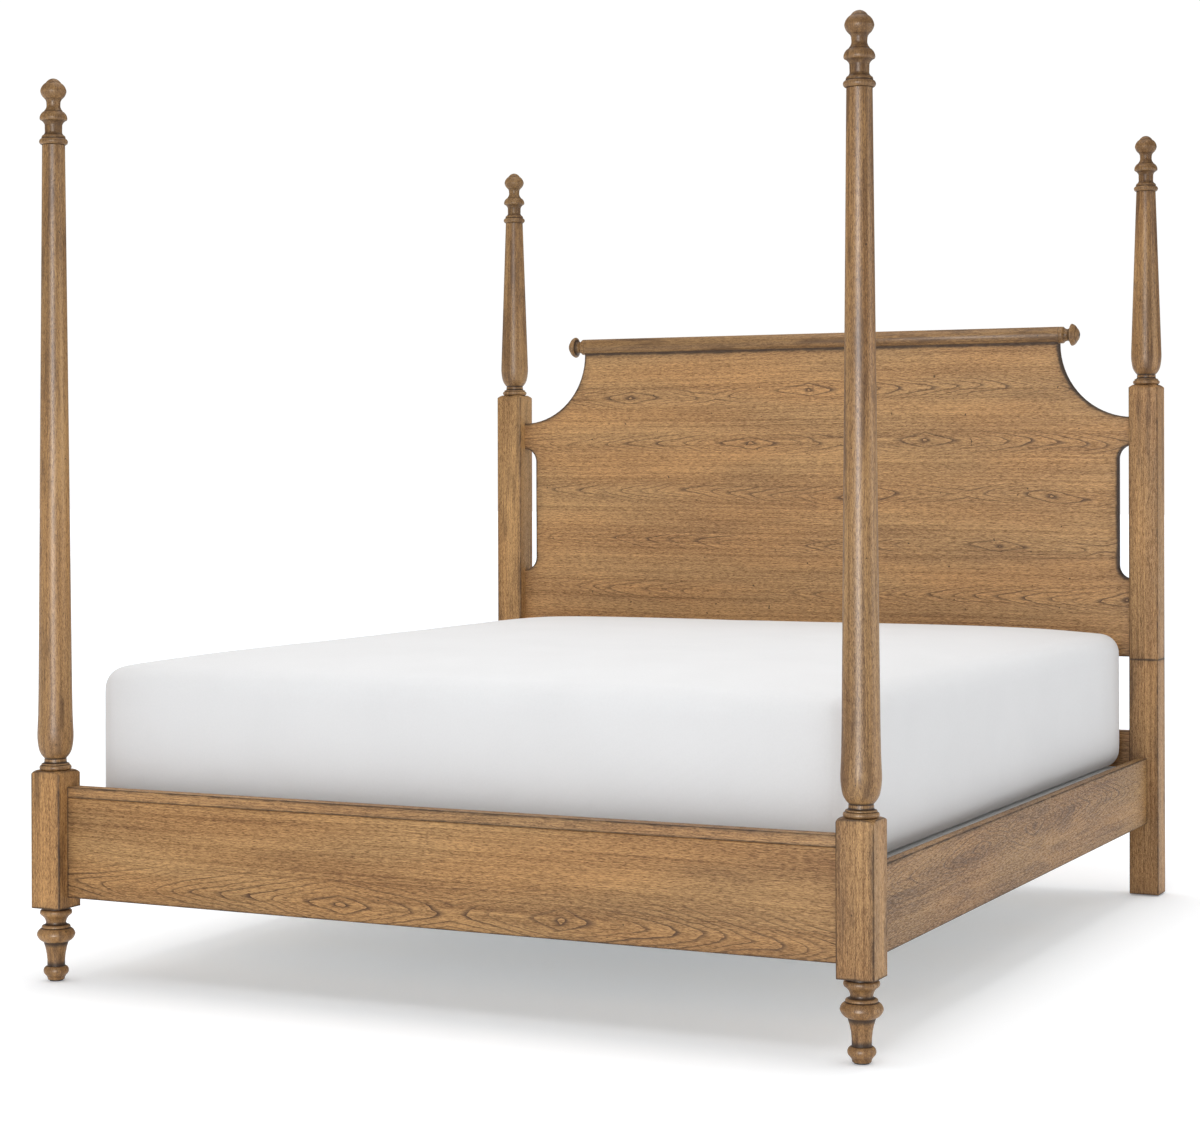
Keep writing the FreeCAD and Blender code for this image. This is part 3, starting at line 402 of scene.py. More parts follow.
# Each point of a turning is a share of its radius, a share of its height, and how far the stretch
# to the next point bulges as a share of its own length, less than zero where it is hollow
RING_SHARES = (
    (0.88, 0.0, 0), (0.9, 0.04, 0.33), (0.9, 0.42, 0), (0.84, 0.44, 0), (0.87, 0.46, 0.25), (0.84, 0.56, 0),
    (0.8, 0.575, -0.2), (0.695, 0.72, 0), (0.695, 0.9, 0), (0.665, 0.92, 0),
)
BULB_SHARES = ((0.62, 0.0, 0.06), (0.9, 0.31, 0.035), (1.0, 1.0, 0))
TAPER_SHARES = ((0.955, 0.03, 0), (0.93, 0.075, 0))
RING_RADIUS = 0.03575
RING_HEIGHT = 0.028
BULB_RADIUS = 0.04025
BULB_HEIGHT = 0.057
SHAFT_TOP_RADIUS = 0.0255


def scaled(shares, radius, low, height):
    """The points of a turning in metres, upwards from low."""
    points = []
    for across, up, bulge in shares:
        points.append((radius * across, low + height * up, bulge))
    return points


EASED_CORNER = 0.0006
ARC_STEP = math.radians(7)
FEWEST_ARC_STEPS = 4


def turning_line(points):
    """The line that the chisel follows: arcs divided, corners eased a little."""
    line = []
    for start, end in zip(points, points[1:]):
        start_point = Vector(start[:2])
        chord = Vector(end[:2]) - start_point
        bulge = start[2]
        if not bulge:
            ease = min(EASED_CORNER, chord.length / 3)
            line.append(start_point + chord.normalized() * ease)
            line.append(Vector(end[:2]) - chord.normalized() * ease)
            continue
        half_turn = 2 * math.atan(2 * abs(bulge))
        outward = Vector((chord.y, -chord.x)) * math.copysign(1, bulge)
        steps = max(FEWEST_ARC_STEPS, math.ceil(2 * half_turn / ARC_STEP))
        for step in range(steps + 1):
            turn = half_turn * (2 * step / steps - 1)
            forward = (math.sin(turn) / math.sin(half_turn) + 1) / 2
            shade_beside = (math.cos(turn) - math.cos(half_turn)) / math.sin(half_turn) / 2
            line.append(start_point + chord * forward + outward * shade_beside)
    return line


# How far to each side a hollow is felt, with its depth there where the glaze and painted shade are
# fullest
HOLLOW_REACHES = ((0.004, 0.0007), (0.013, 0.009))
EVEN_ROWS = 4000


def hollows(line):
    """How deep each point lies under its neighbours, from -1 on a bead to 1 in a groove."""
    heights = np.array([point.y for point in line])
    radii = np.array([point.x for point in line])
    even = np.linspace(heights.min(), heights.max(), EVEN_ROWS)
    order = np.argsort(heights, kind="stable")
    even_radii = np.interp(even, heights[order], radii[order])
    marks = np.zeros(len(radii))
    for reach, depth in HOLLOW_REACHES:
        rows = max(1, int(reach / (even[1] - even[0])))
        weights = np.hanning(2 * rows + 3)
        padded = np.pad(even_radii, rows + 1, mode="edge")
        average = np.convolve(padded, weights / weights.sum(), mode="valid")
        marks += (np.interp(heights, even, average) - radii) / depth
    return np.clip(marks, -1, 1)


def add_marks(mesh, marks):
    """Keep the glaze and painted shade, and the wear and painted highlight, of each vertex."""
    for name, values in (("hollow", np.clip(marks, 0, 1)), ("wear_and_highlight", np.clip(-marks, 0, 1))):
        layer = mesh.attributes.new(name, "FLOAT", "POINT")
        layer.data.foreach_set("value", values.astype(np.float32))


TURNED_SIDES = 80
TURNED_SHARP = math.radians(50)


def put_up(name, made):
    """Put what has been made into the scene: the mesh of a piece, a lamp or a camera."""
    piece = bpy.data.objects.new(name, made)
    bpy.context.scene.collection.objects.link(piece)
    return piece


def turned_piece(name, line, middle, axis="Z"):
    """A piece turned round an axis through its middle, closed at both ends."""
    vertices = []
    for point in line:
        for number in range(TURNED_SIDES):
            turn = math.tau * number / TURNED_SIDES
            across, shade_beside = point.x * math.cos(turn), point.x * math.sin(turn)
            local = (across, shade_beside, point.y) if axis == "Z" else (point.y, across, shade_beside)
            vertices.append(middle + Vector(local))
    faces = []
    for row in range(len(line) - 1):
        low, high = row * TURNED_SIDES, (row + 1) * TURNED_SIDES
        for number in range(TURNED_SIDES):
            following = (number + 1) % TURNED_SIDES
            faces.append((low + number, low + following, high + following, high + number))
    faces.append(tuple(reversed(range(TURNED_SIDES))))
    faces.append(tuple(range((len(line) - 1) * TURNED_SIDES, len(line) * TURNED_SIDES)))
    mesh = bpy.data.meshes.new(name)
    mesh.from_pydata(vertices, [], faces)
    mesh.update()
    mesh.shade_smooth()
    add_marks(mesh, np.repeat(hollows(line), TURNED_SIDES))
    mesh.set_sharp_from_angle(angle=TURNED_SHARP)
    return put_up(name, mesh)


def settle(piece, material, node, body="bed_frame"):
    """Give a piece its material, its body and the solid that it stands for."""
    piece.data.materials.clear()
    piece.data.materials.append(material)
    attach(piece, body)
    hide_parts(node)


SIDES = (("left", -1), ("right", 1))
REAR_BLOCK_TOP = 1.376
front_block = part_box("front_block_right")
rear_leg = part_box("rear_leg_right")
post_x = (front_block[0].x + front_block[1].x) / 2
front_y = (front_block[0].y + front_block[1].y) / 2
rear_y = (rear_leg[0].y + rear_leg[1].y) / 2
block_bottom = front_block[0].z
block_top = front_block[1].z
front_shaft_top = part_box("front_shaft_right")[1].z
rear_shaft_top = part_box("rear_post_right")[1].z

UPRIGHT = (2, 0, 1)
POST_RING = 0.008
HEART_BESIDE = 0.05
HEART_BEHIND = 0.034
TURNED_OAK = {"figure": 0.25, "aged": 0.6, "clouds": 1.4, "streaks": 1.0, "dashes": 90, "gloss": 0.1}
SHAFT_SHADE = 0.74
SHAFT_SHINE = 0.45


def post_heart(x, y):
    """Where the log's middle lies beside a post."""
    return x + HEART_BESIDE, y + math.copysign(HEART_BEHIND, x)


def turned_oak(name, x, y, shade=SHAFT_SHADE, shine=SHAFT_SHINE):
    """The oak of a turned part, glazed and darkened with painted shade in its hollows, lightened on its
    beads as wear and painted highlight, and lacquered.
    """
    return oak(f"oak_{name}", UPRIGHT, post_heart(x, y), POST_RING, shade=shade, shine=shine, **TURNED_OAK)


post_oak = {}
for side_name, side in SIDES:
    for end_name, y in (("front", front_y), ("rear", rear_y)):
        place_name = f"{end_name}_{side_name}"
        post_oak[place_name] = turned_oak(f"post_{place_name}", post_x * side, y)


def shaft_foot(low):
    """The points of the beads, the neck and the bulb at the foot of a shaft."""
    points = scaled(RING_SHARES, RING_RADIUS, low, RING_HEIGHT)
    points += scaled(BULB_SHARES, BULB_RADIUS, low + RING_HEIGHT, BULB_HEIGHT)
    return points


for side_name, side in SIDES:
    points = shaft_foot(block_top)
    taper_start = block_top + RING_HEIGHT + BULB_HEIGHT
    points += scaled(TAPER_SHARES, BULB_RADIUS, taper_start, front_shaft_top - taper_start)
    points.append((SHAFT_TOP_RADIUS, front_shaft_top, 0))
    middle = Vector((post_x * side, front_y, 0))
    shaft = turned_piece(f"front_shaft_{side_name}_turned", turning_line(points), middle)
    settle(shaft, post_oak[f"front_{side_name}"], f"front_shaft_{side_name}")
    points = shaft_foot(REAR_BLOCK_TOP)
    points.append((SHAFT_TOP_RADIUS, rear_shaft_top, 0))
    middle = Vector((post_x * side, rear_y, 0))
    shaft = turned_piece(f"rear_shaft_{side_name}_turned", turning_line(points), middle)
    settle(shaft, post_oak[f"rear_{side_name}"], f"rear_post_{side_name}")

# Finials: a beaded collar, a mushroom and a ball under a small cap, turned from oak in one with the
# tenon that stands in the shaft. They are stained darker than the shafts.
FINIAL_SHARES = (
    (0.8, 0.0, 0.38), (0.83, 0.095, 0), (0.82, 0.105, 0.12), (0.76, 0.14, 0), (0.73, 0.145, -0.12),
    (0.59, 0.195, 0), (0.6, 0.3, -0.12), (0.92, 0.375, 0), (0.95, 0.395, 0.135), (0.65, 0.505, 0),
    (0.6, 0.522, -0.1), (0.474, 0.6, 0), (0.49, 0.65, -0.06), (0.6, 0.695, 0.1), (0.895, 0.807, 0.118),
    (0.53, 0.933, 0), (0.505, 0.94, 0.105), (0.09, 1.0, 0), (0.02, 1.0, 0),
)
FINIAL_RADIUS = 0.0325
FINIAL_HEIGHT = 0.15
FINIAL_SHADE = 0.54
FINIAL_SHINE = 0.3
for side_name, side in SIDES:
    for end_name, y, low in (("front", front_y, front_shaft_top), ("rear", rear_y, rear_shaft_top)):
        name = f"finial_{end_name}_{side_name}"
        points = scaled(FINIAL_SHARES, FINIAL_RADIUS, low, FINIAL_HEIGHT)
        finial = turned_piece(name, turning_line(points), Vector((post_x * side, y, 0)))
        settle(finial, turned_oak(name, post_x * side, y, FINIAL_SHADE, FINIAL_SHINE), "finials")

# Front feet: turned from oak with a ring, a wide bulge and a long cove down to a bead. A tenon at
# the top of each stands in the block above it.
FOOT_SHARES = (
    (0.435, 0.0, -0.09), (0.565, 0.068, 0.25), (0.545, 0.178, 0), (0.46, 0.188, -0.05), (0.655, 0.522, 0.13),
    (1.0, 0.625, 0.14), (0.745, 0.712, 0), (0.735, 0.714, 0.22), (0.7, 0.75, 0), (0.62, 0.757, -0.2),
    (0.53, 0.8, -0.1), (0.76, 0.89, 0.25), (0.78, 0.962, 0), (0.7, 0.97, 0), (0.7, 1.0, 0),
)
FOOT_RADIUS = 0.04275
glide_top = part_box("floor_glides")[1].z
for side_name, side in SIDES:
    points = scaled(FOOT_SHARES, FOOT_RADIUS, glide_top, block_bottom - glide_top)
    foot = turned_piece(f"front_foot_{side_name}", turning_line(points), Vector((post_x * side, front_y, 0)))
    settle(foot, post_oak[f"front_{side_name}"], "front_feet")

# Square blocks and legs of the posts, planed from the same oak, with eased corners. The lathe
# rounds their shoulders over where the turning begins. A rear post stands in its leg by a tenon.
POST_HALF = 0.0395
CORNER_RADIUS = 0.004
CORNER_STEPS = 6
SHOULDER_DROP = 0.01
SHOULDER_BULGE = 0.0021
SHOULDER_STEPS = 8
SHOULDER_CROWDING = 1.6
SQUARE_SHARP = math.radians(35)
REAR_TENON = 0.04
BLOCK_OAK = {
    "figure": 0.2, "aged": 0.5, "clouds": 1.4, "streaks": 0.5, "dashes": 90, "shade": 1.0, "shine": 0.1,
    "gloss": 0.2,
}


def finish_node(name, material):
    """A new material on a solid that keeps its shape."""
    solid = solids[name]
    solid.data.materials.clear()
    solid.data.materials.append(material)


def corners(name):
    """The lowest and the highest corner of a solid, to be moved."""
    return [Vector(corner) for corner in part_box(name)]


def smooth_mesh(name, built):
    """A smooth mesh from one that has been built."""
    mesh = bpy.data.meshes.new(name)
    built.to_mesh(mesh)
    built.free()
    mesh.shade_smooth()
    return mesh


def eased_square():
    """The outline of a post, with a quarter round at each corner."""
    outline = []
    inner = POST_HALF - CORNER_RADIUS
    for quarter in range(4):
        diagonal = math.tau * (quarter + 0.5) / 4
        corner = Vector((math.copysign(inner, math.cos(diagonal)), math.copysign(inner, math.sin(diagonal))))
        for step in range(CORNER_STEPS + 1):
            turn = math.tau * (quarter + step / CORNER_STEPS) / 4
            outline.append(corner + Vector((math.cos(turn), math.sin(turn))) * CORNER_RADIUS)
    return outline


def shoulder_rows(high):
    """How far the lathe leaves the wood at each height of the shoulder."""
    rows = []
    corner_reach = POST_HALF * math.sqrt(2)
    for step in range(SHOULDER_STEPS + 1):
        share = (1 - step / SHOULDER_STEPS) ** SHOULDER_CROWDING
        reach = POST_HALF + (corner_reach - POST_HALF) * share + 4 * SHOULDER_BULGE * share * (1 - share)
        rows.append((high - SHOULDER_DROP * share, reach))
    return rows


def square_length(name, low, high, middle):
    """A square length of a post, its corners eased and the top of them rounded by the lathe."""
    outline = eased_square()
    built = bmesh.new()
    loops = []
    for height, reach in [(low, math.inf)] + shoulder_rows(high):
        loop = []
        for point in outline:
            near = point * min(1, reach / point.length)
            loop.append(built.verts.new(middle + Vector((near.x, near.y, height))))
        loops.append(loop)
    for below, above in zip(loops, loops[1:]):
        for number in range(len(outline)):
            following = (number + 1) % len(outline)
            built.faces.new((below[number], below[following], above[following], above[number]))
    built.faces.new(loops[0][::-1])
    built.faces.new(loops[-1])
    mesh = smooth_mesh(name, built)
    mesh.set_sharp_from_angle(angle=SQUARE_SHARP)
    return put_up(name, mesh)


for name, y in (("front_block", front_y), ("rear_leg", rear_y)):
    for side_name, side in SIDES:
        block = f"{name}_{side_name}"
        heart = post_heart(post_x * side, y)
        finish_node(block, oak(f"oak_{block}", UPRIGHT, heart, POST_RING, edges=corners(block), **BLOCK_OAK))
for side_name, side in SIDES:
    post = f"rear_post_{side_name}"
    box = corners(post)
    box[0].z += REAR_TENON
    box[1].z = REAR_BLOCK_TOP
    middle = Vector((post_x * side, rear_y, 0))
    heart = post_heart(middle.x, middle.y)
    block = square_length(f"{post}_square", box[0].z, box[1].z, middle)
    settle(block, oak(f"oak_{post}", UPRIGHT, heart, POST_RING, edges=box, **BLOCK_OAK), post)

# Headboard: wide oak boards glued and veneered, with the crown figure running across in bands.
# Quarter-round coves at its shoulders, a slot beside each post, and tenons into the rear posts.
CROSSWISE = (0, 2, 1)
HEART_DEPTH = 0.008
COVE_RADIUS = 0.203
COVE_HEIGHT = 1.493
SLOT_RADIUS = 0.038
SLOT_HEIGHT = 1.032
SLOT_HALF_STRAIGHT = 0.144
HEADBOARD_HEART_HEIGHT = 1.2275
HEADBOARD_OAK = {
    "ring": 0.009, "band": 0.143, "spread": 0.043, "eye": {"middle": 0.081, "apart": 0.273, "slope": 0.13},
    "figure": 0.95, "aged": 0.12, "clouds": 0.6, "shade": 1.07, "edge_width": 0.008,
}


def headboard_rim(finish):
    """How far a place on the headboard lies from its coves and slots."""
    x, y, z = finish.split(finish.place())
    from_post = finish.math("SUBTRACT", finish.math("ABSOLUTE", x), post_x - POST_HALF)
    from_cove = finish.math("SUBTRACT", z, COVE_HEIGHT)
    from_slot = finish.math("ABSOLUTE", finish.math("SUBTRACT", z, SLOT_HEIGHT))
    from_slot = finish.math("MAXIMUM", finish.math("SUBTRACT", from_slot, SLOT_HALF_STRAIGHT), 0.0)
    rims = []
    for height, radius in ((from_cove, COVE_RADIUS), (from_slot, SLOT_RADIUS)):
        rims.append(finish.math("SUBTRACT", finish.hypotenuse(from_post, height), radius))
    return finish.math("MINIMUM", *rims)


# Painted shadow: the board's top arris is set at the underside of the roll, so the glaze band there stands
# for the roll's shadow. The darkening along the coves and slots beside the posts is painted shade as well as
# glaze.
box = corners("headboard_panel")
box[1].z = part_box("headboard_roll")[0].z
panel_front = box[0].y
heart = (HEADBOARD_HEART_HEIGHT, panel_front + HEART_DEPTH)
board_oak = oak("oak_headboard", CROSSWISE, heart, edges=box, rim=headboard_rim, **HEADBOARD_OAK)
finish_node("headboard_panel", board_oak)

# Lower rail of the headboard: a plain oak board between the rear legs, with a tenon at each end.
# It carries nothing and keeps the legs apart.
LOWER_RAIL_RING = 0.009
LOWER_RAIL_FIGURE = 0.4
LOWER_RAIL_HEART_DROP = 0.05
box = corners("headboard_lower_rail")
heart = (box[0].z - LOWER_RAIL_HEART_DROP, box[0].y + HEART_DEPTH)
lower_oak = oak("oak_lower_rail", CROSSWISE, heart, LOWER_RAIL_RING, figure=LOWER_RAIL_FIGURE, edges=box)
finish_node("headboard_lower_rail", lower_oak)

# Roll and knobs: a round rail turned in one length sits in a groove on the panel's top edge,
# with a turned knob pegged into each end. Both are oak, stained as dark as the shafts.
ROLL_END_SHARES = ((0.7, 1.0, -0.14), (0.92, 0.52, 0), (0.96, 0.48, 0.05), (0.96, 0.05, 0), (1.0, 0.0, 0))
KNOB_SHARES = (
    (0.02, 1.0, 0.1), (0.66, 0.72, 0.1), (0.96, 0.42, 0.14), (0.98, 0.3, 0), (0.86, 0.24, -0.12),
    (0.54, 0.0, 0),
)
ROLL_RADIUS = 0.0235
ROLL_NECK = 0.026
KNOB_RADIUS = 0.0305
KNOB_LENGTH = 0.032
ROLL_HEART_DEPTH = 0.05
ROLL_HEART_HEIGHT = 1.56
ROLL_AXES = (0, 1, 2)
ROLL_OAK = {
    "ring": 0.006, "figure": 0.3, "aged": 0.7, "clouds": 1.4, "streaks": 0.5, "shade": 0.7, "shine": 0.45,
    "gloss": 0.1,
}


def other_end(line):
    """The same turning at the other end of the piece."""
    return [Vector((point.x, -point.y)) for point in reversed(line)]


roll_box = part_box("headboard_roll")
roll_end = roll_box[0].x
roll_middle = Vector((0, (roll_box[0].y + roll_box[1].y) / 2, roll_box[1].z - ROLL_RADIUS))
roll_oak = oak("oak_roll", ROLL_AXES, (panel_front + ROLL_HEART_DEPTH, ROLL_HEART_HEIGHT), **ROLL_OAK)
end_line = turning_line(scaled(ROLL_END_SHARES, ROLL_RADIUS, roll_end + ROLL_NECK, -ROLL_NECK))
roll = turned_piece("headboard_roll_turned", end_line + other_end(end_line), roll_middle, "X")
settle(roll, roll_oak, "headboard_roll")
knob_line = turning_line(scaled(KNOB_SHARES, KNOB_RADIUS, roll_end, -KNOB_LENGTH))
for side_name, line in (("left", knob_line), ("right", other_end(knob_line))):
    knob = turned_piece(f"roll_knob_{side_name}", line, roll_middle, "X")
    settle(knob, roll_oak, "roll_knobs")

# Footboard: one wide oak board tenoned between the front blocks. The cap strip along its top covers
# that edge, so no glaze lies there.
FOOTBOARD_COVERED = 0.02
FOOTBOARD_HEART_UP = 0.036
FOOTBOARD_OAK = {
    "ring": 0.01, "band": 0.6, "spread": 0.09, "eye": {"middle": 0.058, "apart": 0.268, "slope": 0.18},
    "figure": 1.0, "aged": 0.15, "clouds": 1.0, "shade": 0.95, "gloss": 0.25,
}
box = corners("footboard_rail")
# The ends are set at the faces of the blocks, so the darkening there is painted shade where the board meets
# them.
box[0].x = -post_x + POST_HALF
box[1].x = post_x - POST_HALF
box[1].z += FOOTBOARD_COVERED
heart = (box[0].z + FOOTBOARD_HEART_UP, box[0].y + HEART_DEPTH)
finish_node("footboard_rail", oak("oak_footboard", CROSSWISE, heart, edges=box, **FOOTBOARD_OAK))

# Cap of the footboard: a strip of straight-grained oak glued on the board's top edge. The glaze
# marks the joint as a dark line.
CAP_RING = 0.0034
CAP_FIGURE = 0.35
CAP_HEART_DROP = 0.02
CAP_HEART_DEPTH = 0.03
box = corners("footboard_cap")
heart = (box[0].z - CAP_HEART_DROP, box[0].y + CAP_HEART_DEPTH)
finish_node("footboard_cap", oak("oak_cap", CROSSWISE, heart, CAP_RING, figure=CAP_FIGURE, edges=box))

# Side rails: oak boards between the front and rear posts. Hooks let into their ends hang in the
# slotted plates of the posts.
LENGTHWISE = (1, 2, 0)
SIDE_RAIL_HEART_UP = 0.124
SIDE_RAIL_OAK = {
    "ring": 0.009, "band": 0.5, "spread": 0.08, "eye": {"middle": -0.18, "apart": 0.2, "slope": 0.16},
    "figure": 0.8, "aged": 0.4, "clouds": 1.2, "shade": 0.8,
}
for side_name, side in SIDES:
    rail = f"side_rail_{side_name}"
    # Their ends meet the posts, and the darkening there is painted shade as well as glaze.
    box = corners(rail)
    outer = max(abs(box[0].x), abs(box[1].x))
    heart = (box[0].z + SIDE_RAIL_HEART_UP, (outer - HEART_DEPTH) * side)
    finish_node(rail, oak(f"oak_{rail}", LENGTHWISE, heart, edges=box, **SIDE_RAIL_OAK))

# Ledgers and slats: plain planed pine, unfinished. The ledgers are fixed along the inside of the
# side rails, and the five slats lie across them.
PINE_LIGHT = (0.74, 0.56, 0.34, 1)
PINE_DARK = (0.56, 0.38, 0.2, 1)
PINE_LINE = (0.45, 0.24, 0.09, 1)
PINE_ROUGHNESS = 0.7
PINE_RING = 0.006
PINE_DRIFT_MARKS = (2.5, 2)
PINE_DRIFT = 0.03
PINE_LATE_LEVELS = (0.55, 0.95)
PINE_LATE_SHARE = 0.5
PINE_FIBRE_MARKS = (12, 500, 3, 0.6)
PINE_BUMP = 0.3
PINE_DEPTH = 0.0004
PLANK_HEART = 0.05


def pine(name, axes, heart):
    """Planed pine, cut so far from the heart of its log."""
    finish = Finish(name, PINE_ROUGHNESS)
    along, across, through = finish.split(finish.place(), axes)
    grain = finish.vector(along, across, through)
    drift = finish.math("MULTIPLY_ADD", finish.noise(grain, *PINE_DRIFT_MARKS), PINE_DRIFT, heart)
    radius = finish.hypotenuse(finish.math("ADD", across, drift), through)
    late = finish.rise(finish.math("FRACT", finish.math("DIVIDE", radius, PINE_RING)), *PINE_LATE_LEVELS)
    fibre = finish.grain_noise(grain, *PINE_FIBRE_MARKS)
    colour = finish.mix(fibre, PINE_DARK, PINE_LIGHT)
    colour = finish.mix(finish.math("MULTIPLY", late, PINE_LATE_SHARE), colour, PINE_LINE)
    finish.set("Base Color", colour)
    finish.bump(fibre, PINE_BUMP, PINE_DEPTH)
    return finish.material


slat_pine = pine("pine_slats", (0, 1, 2), PLANK_HEART)
for name in ("slat_1", "slat_2", "support_slat", "slat_4", "slat_5"):
    finish_node(name, slat_pine)
ledger_pine = pine("pine_ledgers", LENGTHWISE, PLANK_HEART)
for side_name, side in SIDES:
    finish_node(f"slat_ledger_{side_name}", ledger_pine)

# Support legs, levelling feet and glides: three pine legs are bolted under the middle slat, and a
# black nylon foot screws into the insert at the bottom of each. The glides under the posts are
# moulded in the same nylon.
LEG_HEART = 0.03
NYLON_LIGHT = (0.03, 0.028, 0.026, 1)
NYLON_DARK = (0.012, 0.011, 0.01, 1)
NYLON_MARKS = (900, 2)
NYLON_ROUGHNESS = 0.4
NYLON_ROUGHNESS_DRIFT = 0.3
NYLON_BUMP = 0.15
MOULD_DEPTH = 0.0002


def nylon(name):
    """Moulded nylon with a fine speckle."""
    finish = Finish(name)
    speckle = finish.noise(finish.place(), *NYLON_MARKS)
    finish.set("Base Color", finish.mix(speckle, NYLON_DARK, NYLON_LIGHT))
    finish.set("Roughness", finish.math("MULTIPLY_ADD", speckle, NYLON_ROUGHNESS_DRIFT, NYLON_ROUGHNESS))
    finish.bump(speckle, NYLON_BUMP, MOULD_DEPTH)
    return finish.material


leg_pine = pine("pine_legs", UPRIGHT, LEG_HEART)
black_nylon = nylon("black_nylon")
for name in ("left", "centre", "right"):
    finish_node(f"support_leg_{name}", leg_pine)
    finish_node(f"leveller_{name}", black_nylon)
finish_node("floor_glides", black_nylon)

# Hook fittings, bolts and inserts: pressed plates and turned bolts of zinc-plated steel, and turned
# inserts of brass. The plates are let into the rails and the posts, the inserts into the legs.
STEEL = (0.5, 0.51, 0.53, 1)
STEEL_ROUGHNESS = 0.3
BRASS = (0.6, 0.42, 0.16, 1)
BRASS_ROUGHNESS = 0.25
METAL_MARKS = (260, 3)
METAL_BRIGHT_SHARE = 1.25
METAL_ROUGHNESS_DRIFT = 0.25
METAL_BUMP = 0.1
METAL_DEPTH = 0.0002


def metal(name, colour, roughness):
    """Metal with a fine grit from its finishing."""
    finish = Finish(name)
    finish.set("Metallic", 1)
    grit = finish.noise(finish.place(), *METAL_MARKS)
    brighter = [part * METAL_BRIGHT_SHARE for part in colour[:3]] + [1]
    finish.set("Base Color", finish.mix(grit, colour, brighter))
    finish.set("Roughness", finish.math("MULTIPLY_ADD", grit, METAL_ROUGHNESS_DRIFT, roughness))
    finish.bump(grit, METAL_BUMP, METAL_DEPTH)
    return finish.material


steel = metal("zinc_steel", STEEL, STEEL_ROUGHNESS)
for name in ("post_slot_plates", "rail_hook_plates", "support_leg_bolts"):
    finish_node(name, steel)
finish_node("leveller_inserts", metal("brass", BRASS, BRASS_ROUGHNESS))

# Mattress: foam and springs in a soft white knit cover, crowned on top, its sides a little full.
# It lies loose on the foundation.
KNIT_WHITE = (0.76, 0.76, 0.765, 1)
KNIT_THREAD = 0.0022
KNIT_BUMP = 0.25
CLOTH_ROUGHNESS = 0.9
CLOTH_SHEEN = 0.15
CLOTH_SHEEN_ROUGHNESS = 0.5
CROSS_THREAD_SHARE = 0.6
NAP_MARKS = (220, 3)
NAP_HEIGHT_SHARE = 1.4
NAP_SHADE = 0.05
HANDLED_MARKS = (5, 2)
HANDLED_SHADE = 0.06
CLOTH_SHADE = 0.91
CLOTH_DEPTH = 0.0006


def cloth(name, colour, thread, bump):
    """A fine weave with a soft nap."""
    finish = Finish(name, CLOTH_ROUGHNESS)
    finish.set("Sheen Weight", CLOTH_SHEEN)
    finish.set("Sheen Roughness", CLOTH_SHEEN_ROUGHNESS)
    waves = []
    for coordinate in finish.split(finish.place()):
        turn = finish.math("MULTIPLY", coordinate, math.tau / thread)
        waves.append(finish.math("SINE", turn))
    weave = finish.math("MULTIPLY", waves[0], waves[1])
    weave = finish.math("ADD", weave, finish.math("MULTIPLY", waves[2], CROSS_THREAD_SHARE))
    nap = finish.noise(finish.place(), *NAP_MARKS)
    handled = finish.noise(finish.place(), *HANDLED_MARKS)
    shade = finish.math("MULTIPLY_ADD", nap, NAP_SHADE, CLOTH_SHADE)
    shade = finish.math("MULTIPLY_ADD", handled, HANDLED_SHADE, shade)
    finish.set("Base Color", finish.mix(1.0, colour, finish.vector(shade, shade, shade), "MULTIPLY"))
    finish.bump(finish.math("MULTIPLY_ADD", nap, NAP_HEIGHT_SHARE, weave), bump, CLOTH_DEPTH)
    return finish.material


ROUNDING_SHARES = (0.0, 0.24, 0.48, 0.74)
FEWEST_QUADS = 2
TOUCHING = 1e-9


def grid_lines(half, radius, step):
    """Where the lines of a padded block's grid lie on one axis, closer where its edges round."""
    inner = half - radius
    count = max(FEWEST_QUADS, round(2 * inner / step))
    ends = [half - radius * share for share in ROUNDING_SHARES]
    flat = [inner * (2 * number / count - 1) for number in range(count + 1)]
    return [-end for end in ends] + flat + ends[::-1]


def padded_block(low, high, radius, step):
    """A closed block with rounded edges, in even quads."""
    middle = (low + high) / 2
    half = (high - low) / 2
    flat = [size - radius for size in half]
    lines = [grid_lines(size, radius, step) for size in half]
    built = bmesh.new()
    known = {}

    def corner(numbers):
        """The vertex where these lines of the grid meet, drawn in where an edge rounds."""
        if numbers not in known:
            point = Vector([lines[axis][numbers[axis]] for axis in range(3)])
            inner = Vector([max(-flat[axis], min(flat[axis], point[axis])) for axis in range(3)])
            away = point - inner
            if away.length > TOUCHING:
                point = inner + away.normalized() * radius
            known[numbers] = built.verts.new(middle + point)
        return known[numbers]

    counts = [len(line) - 1 for line in lines]
    for axis in range(3):
        first, second = (axis + 1) % 3, (axis + 2) % 3
        for end in (0, counts[axis]):
            for u in range(counts[first]):
                for v in range(counts[second]):
                    ring = []
                    for du, dv in ((0, 0), (1, 0), (1, 1), (0, 1)):
                        numbers = [0, 0, 0]
                        numbers[axis], numbers[first], numbers[second] = end, u + du, v + dv
                        ring.append(corner(tuple(numbers)))
                    built.faces.new(ring if end else ring[::-1])
    return built


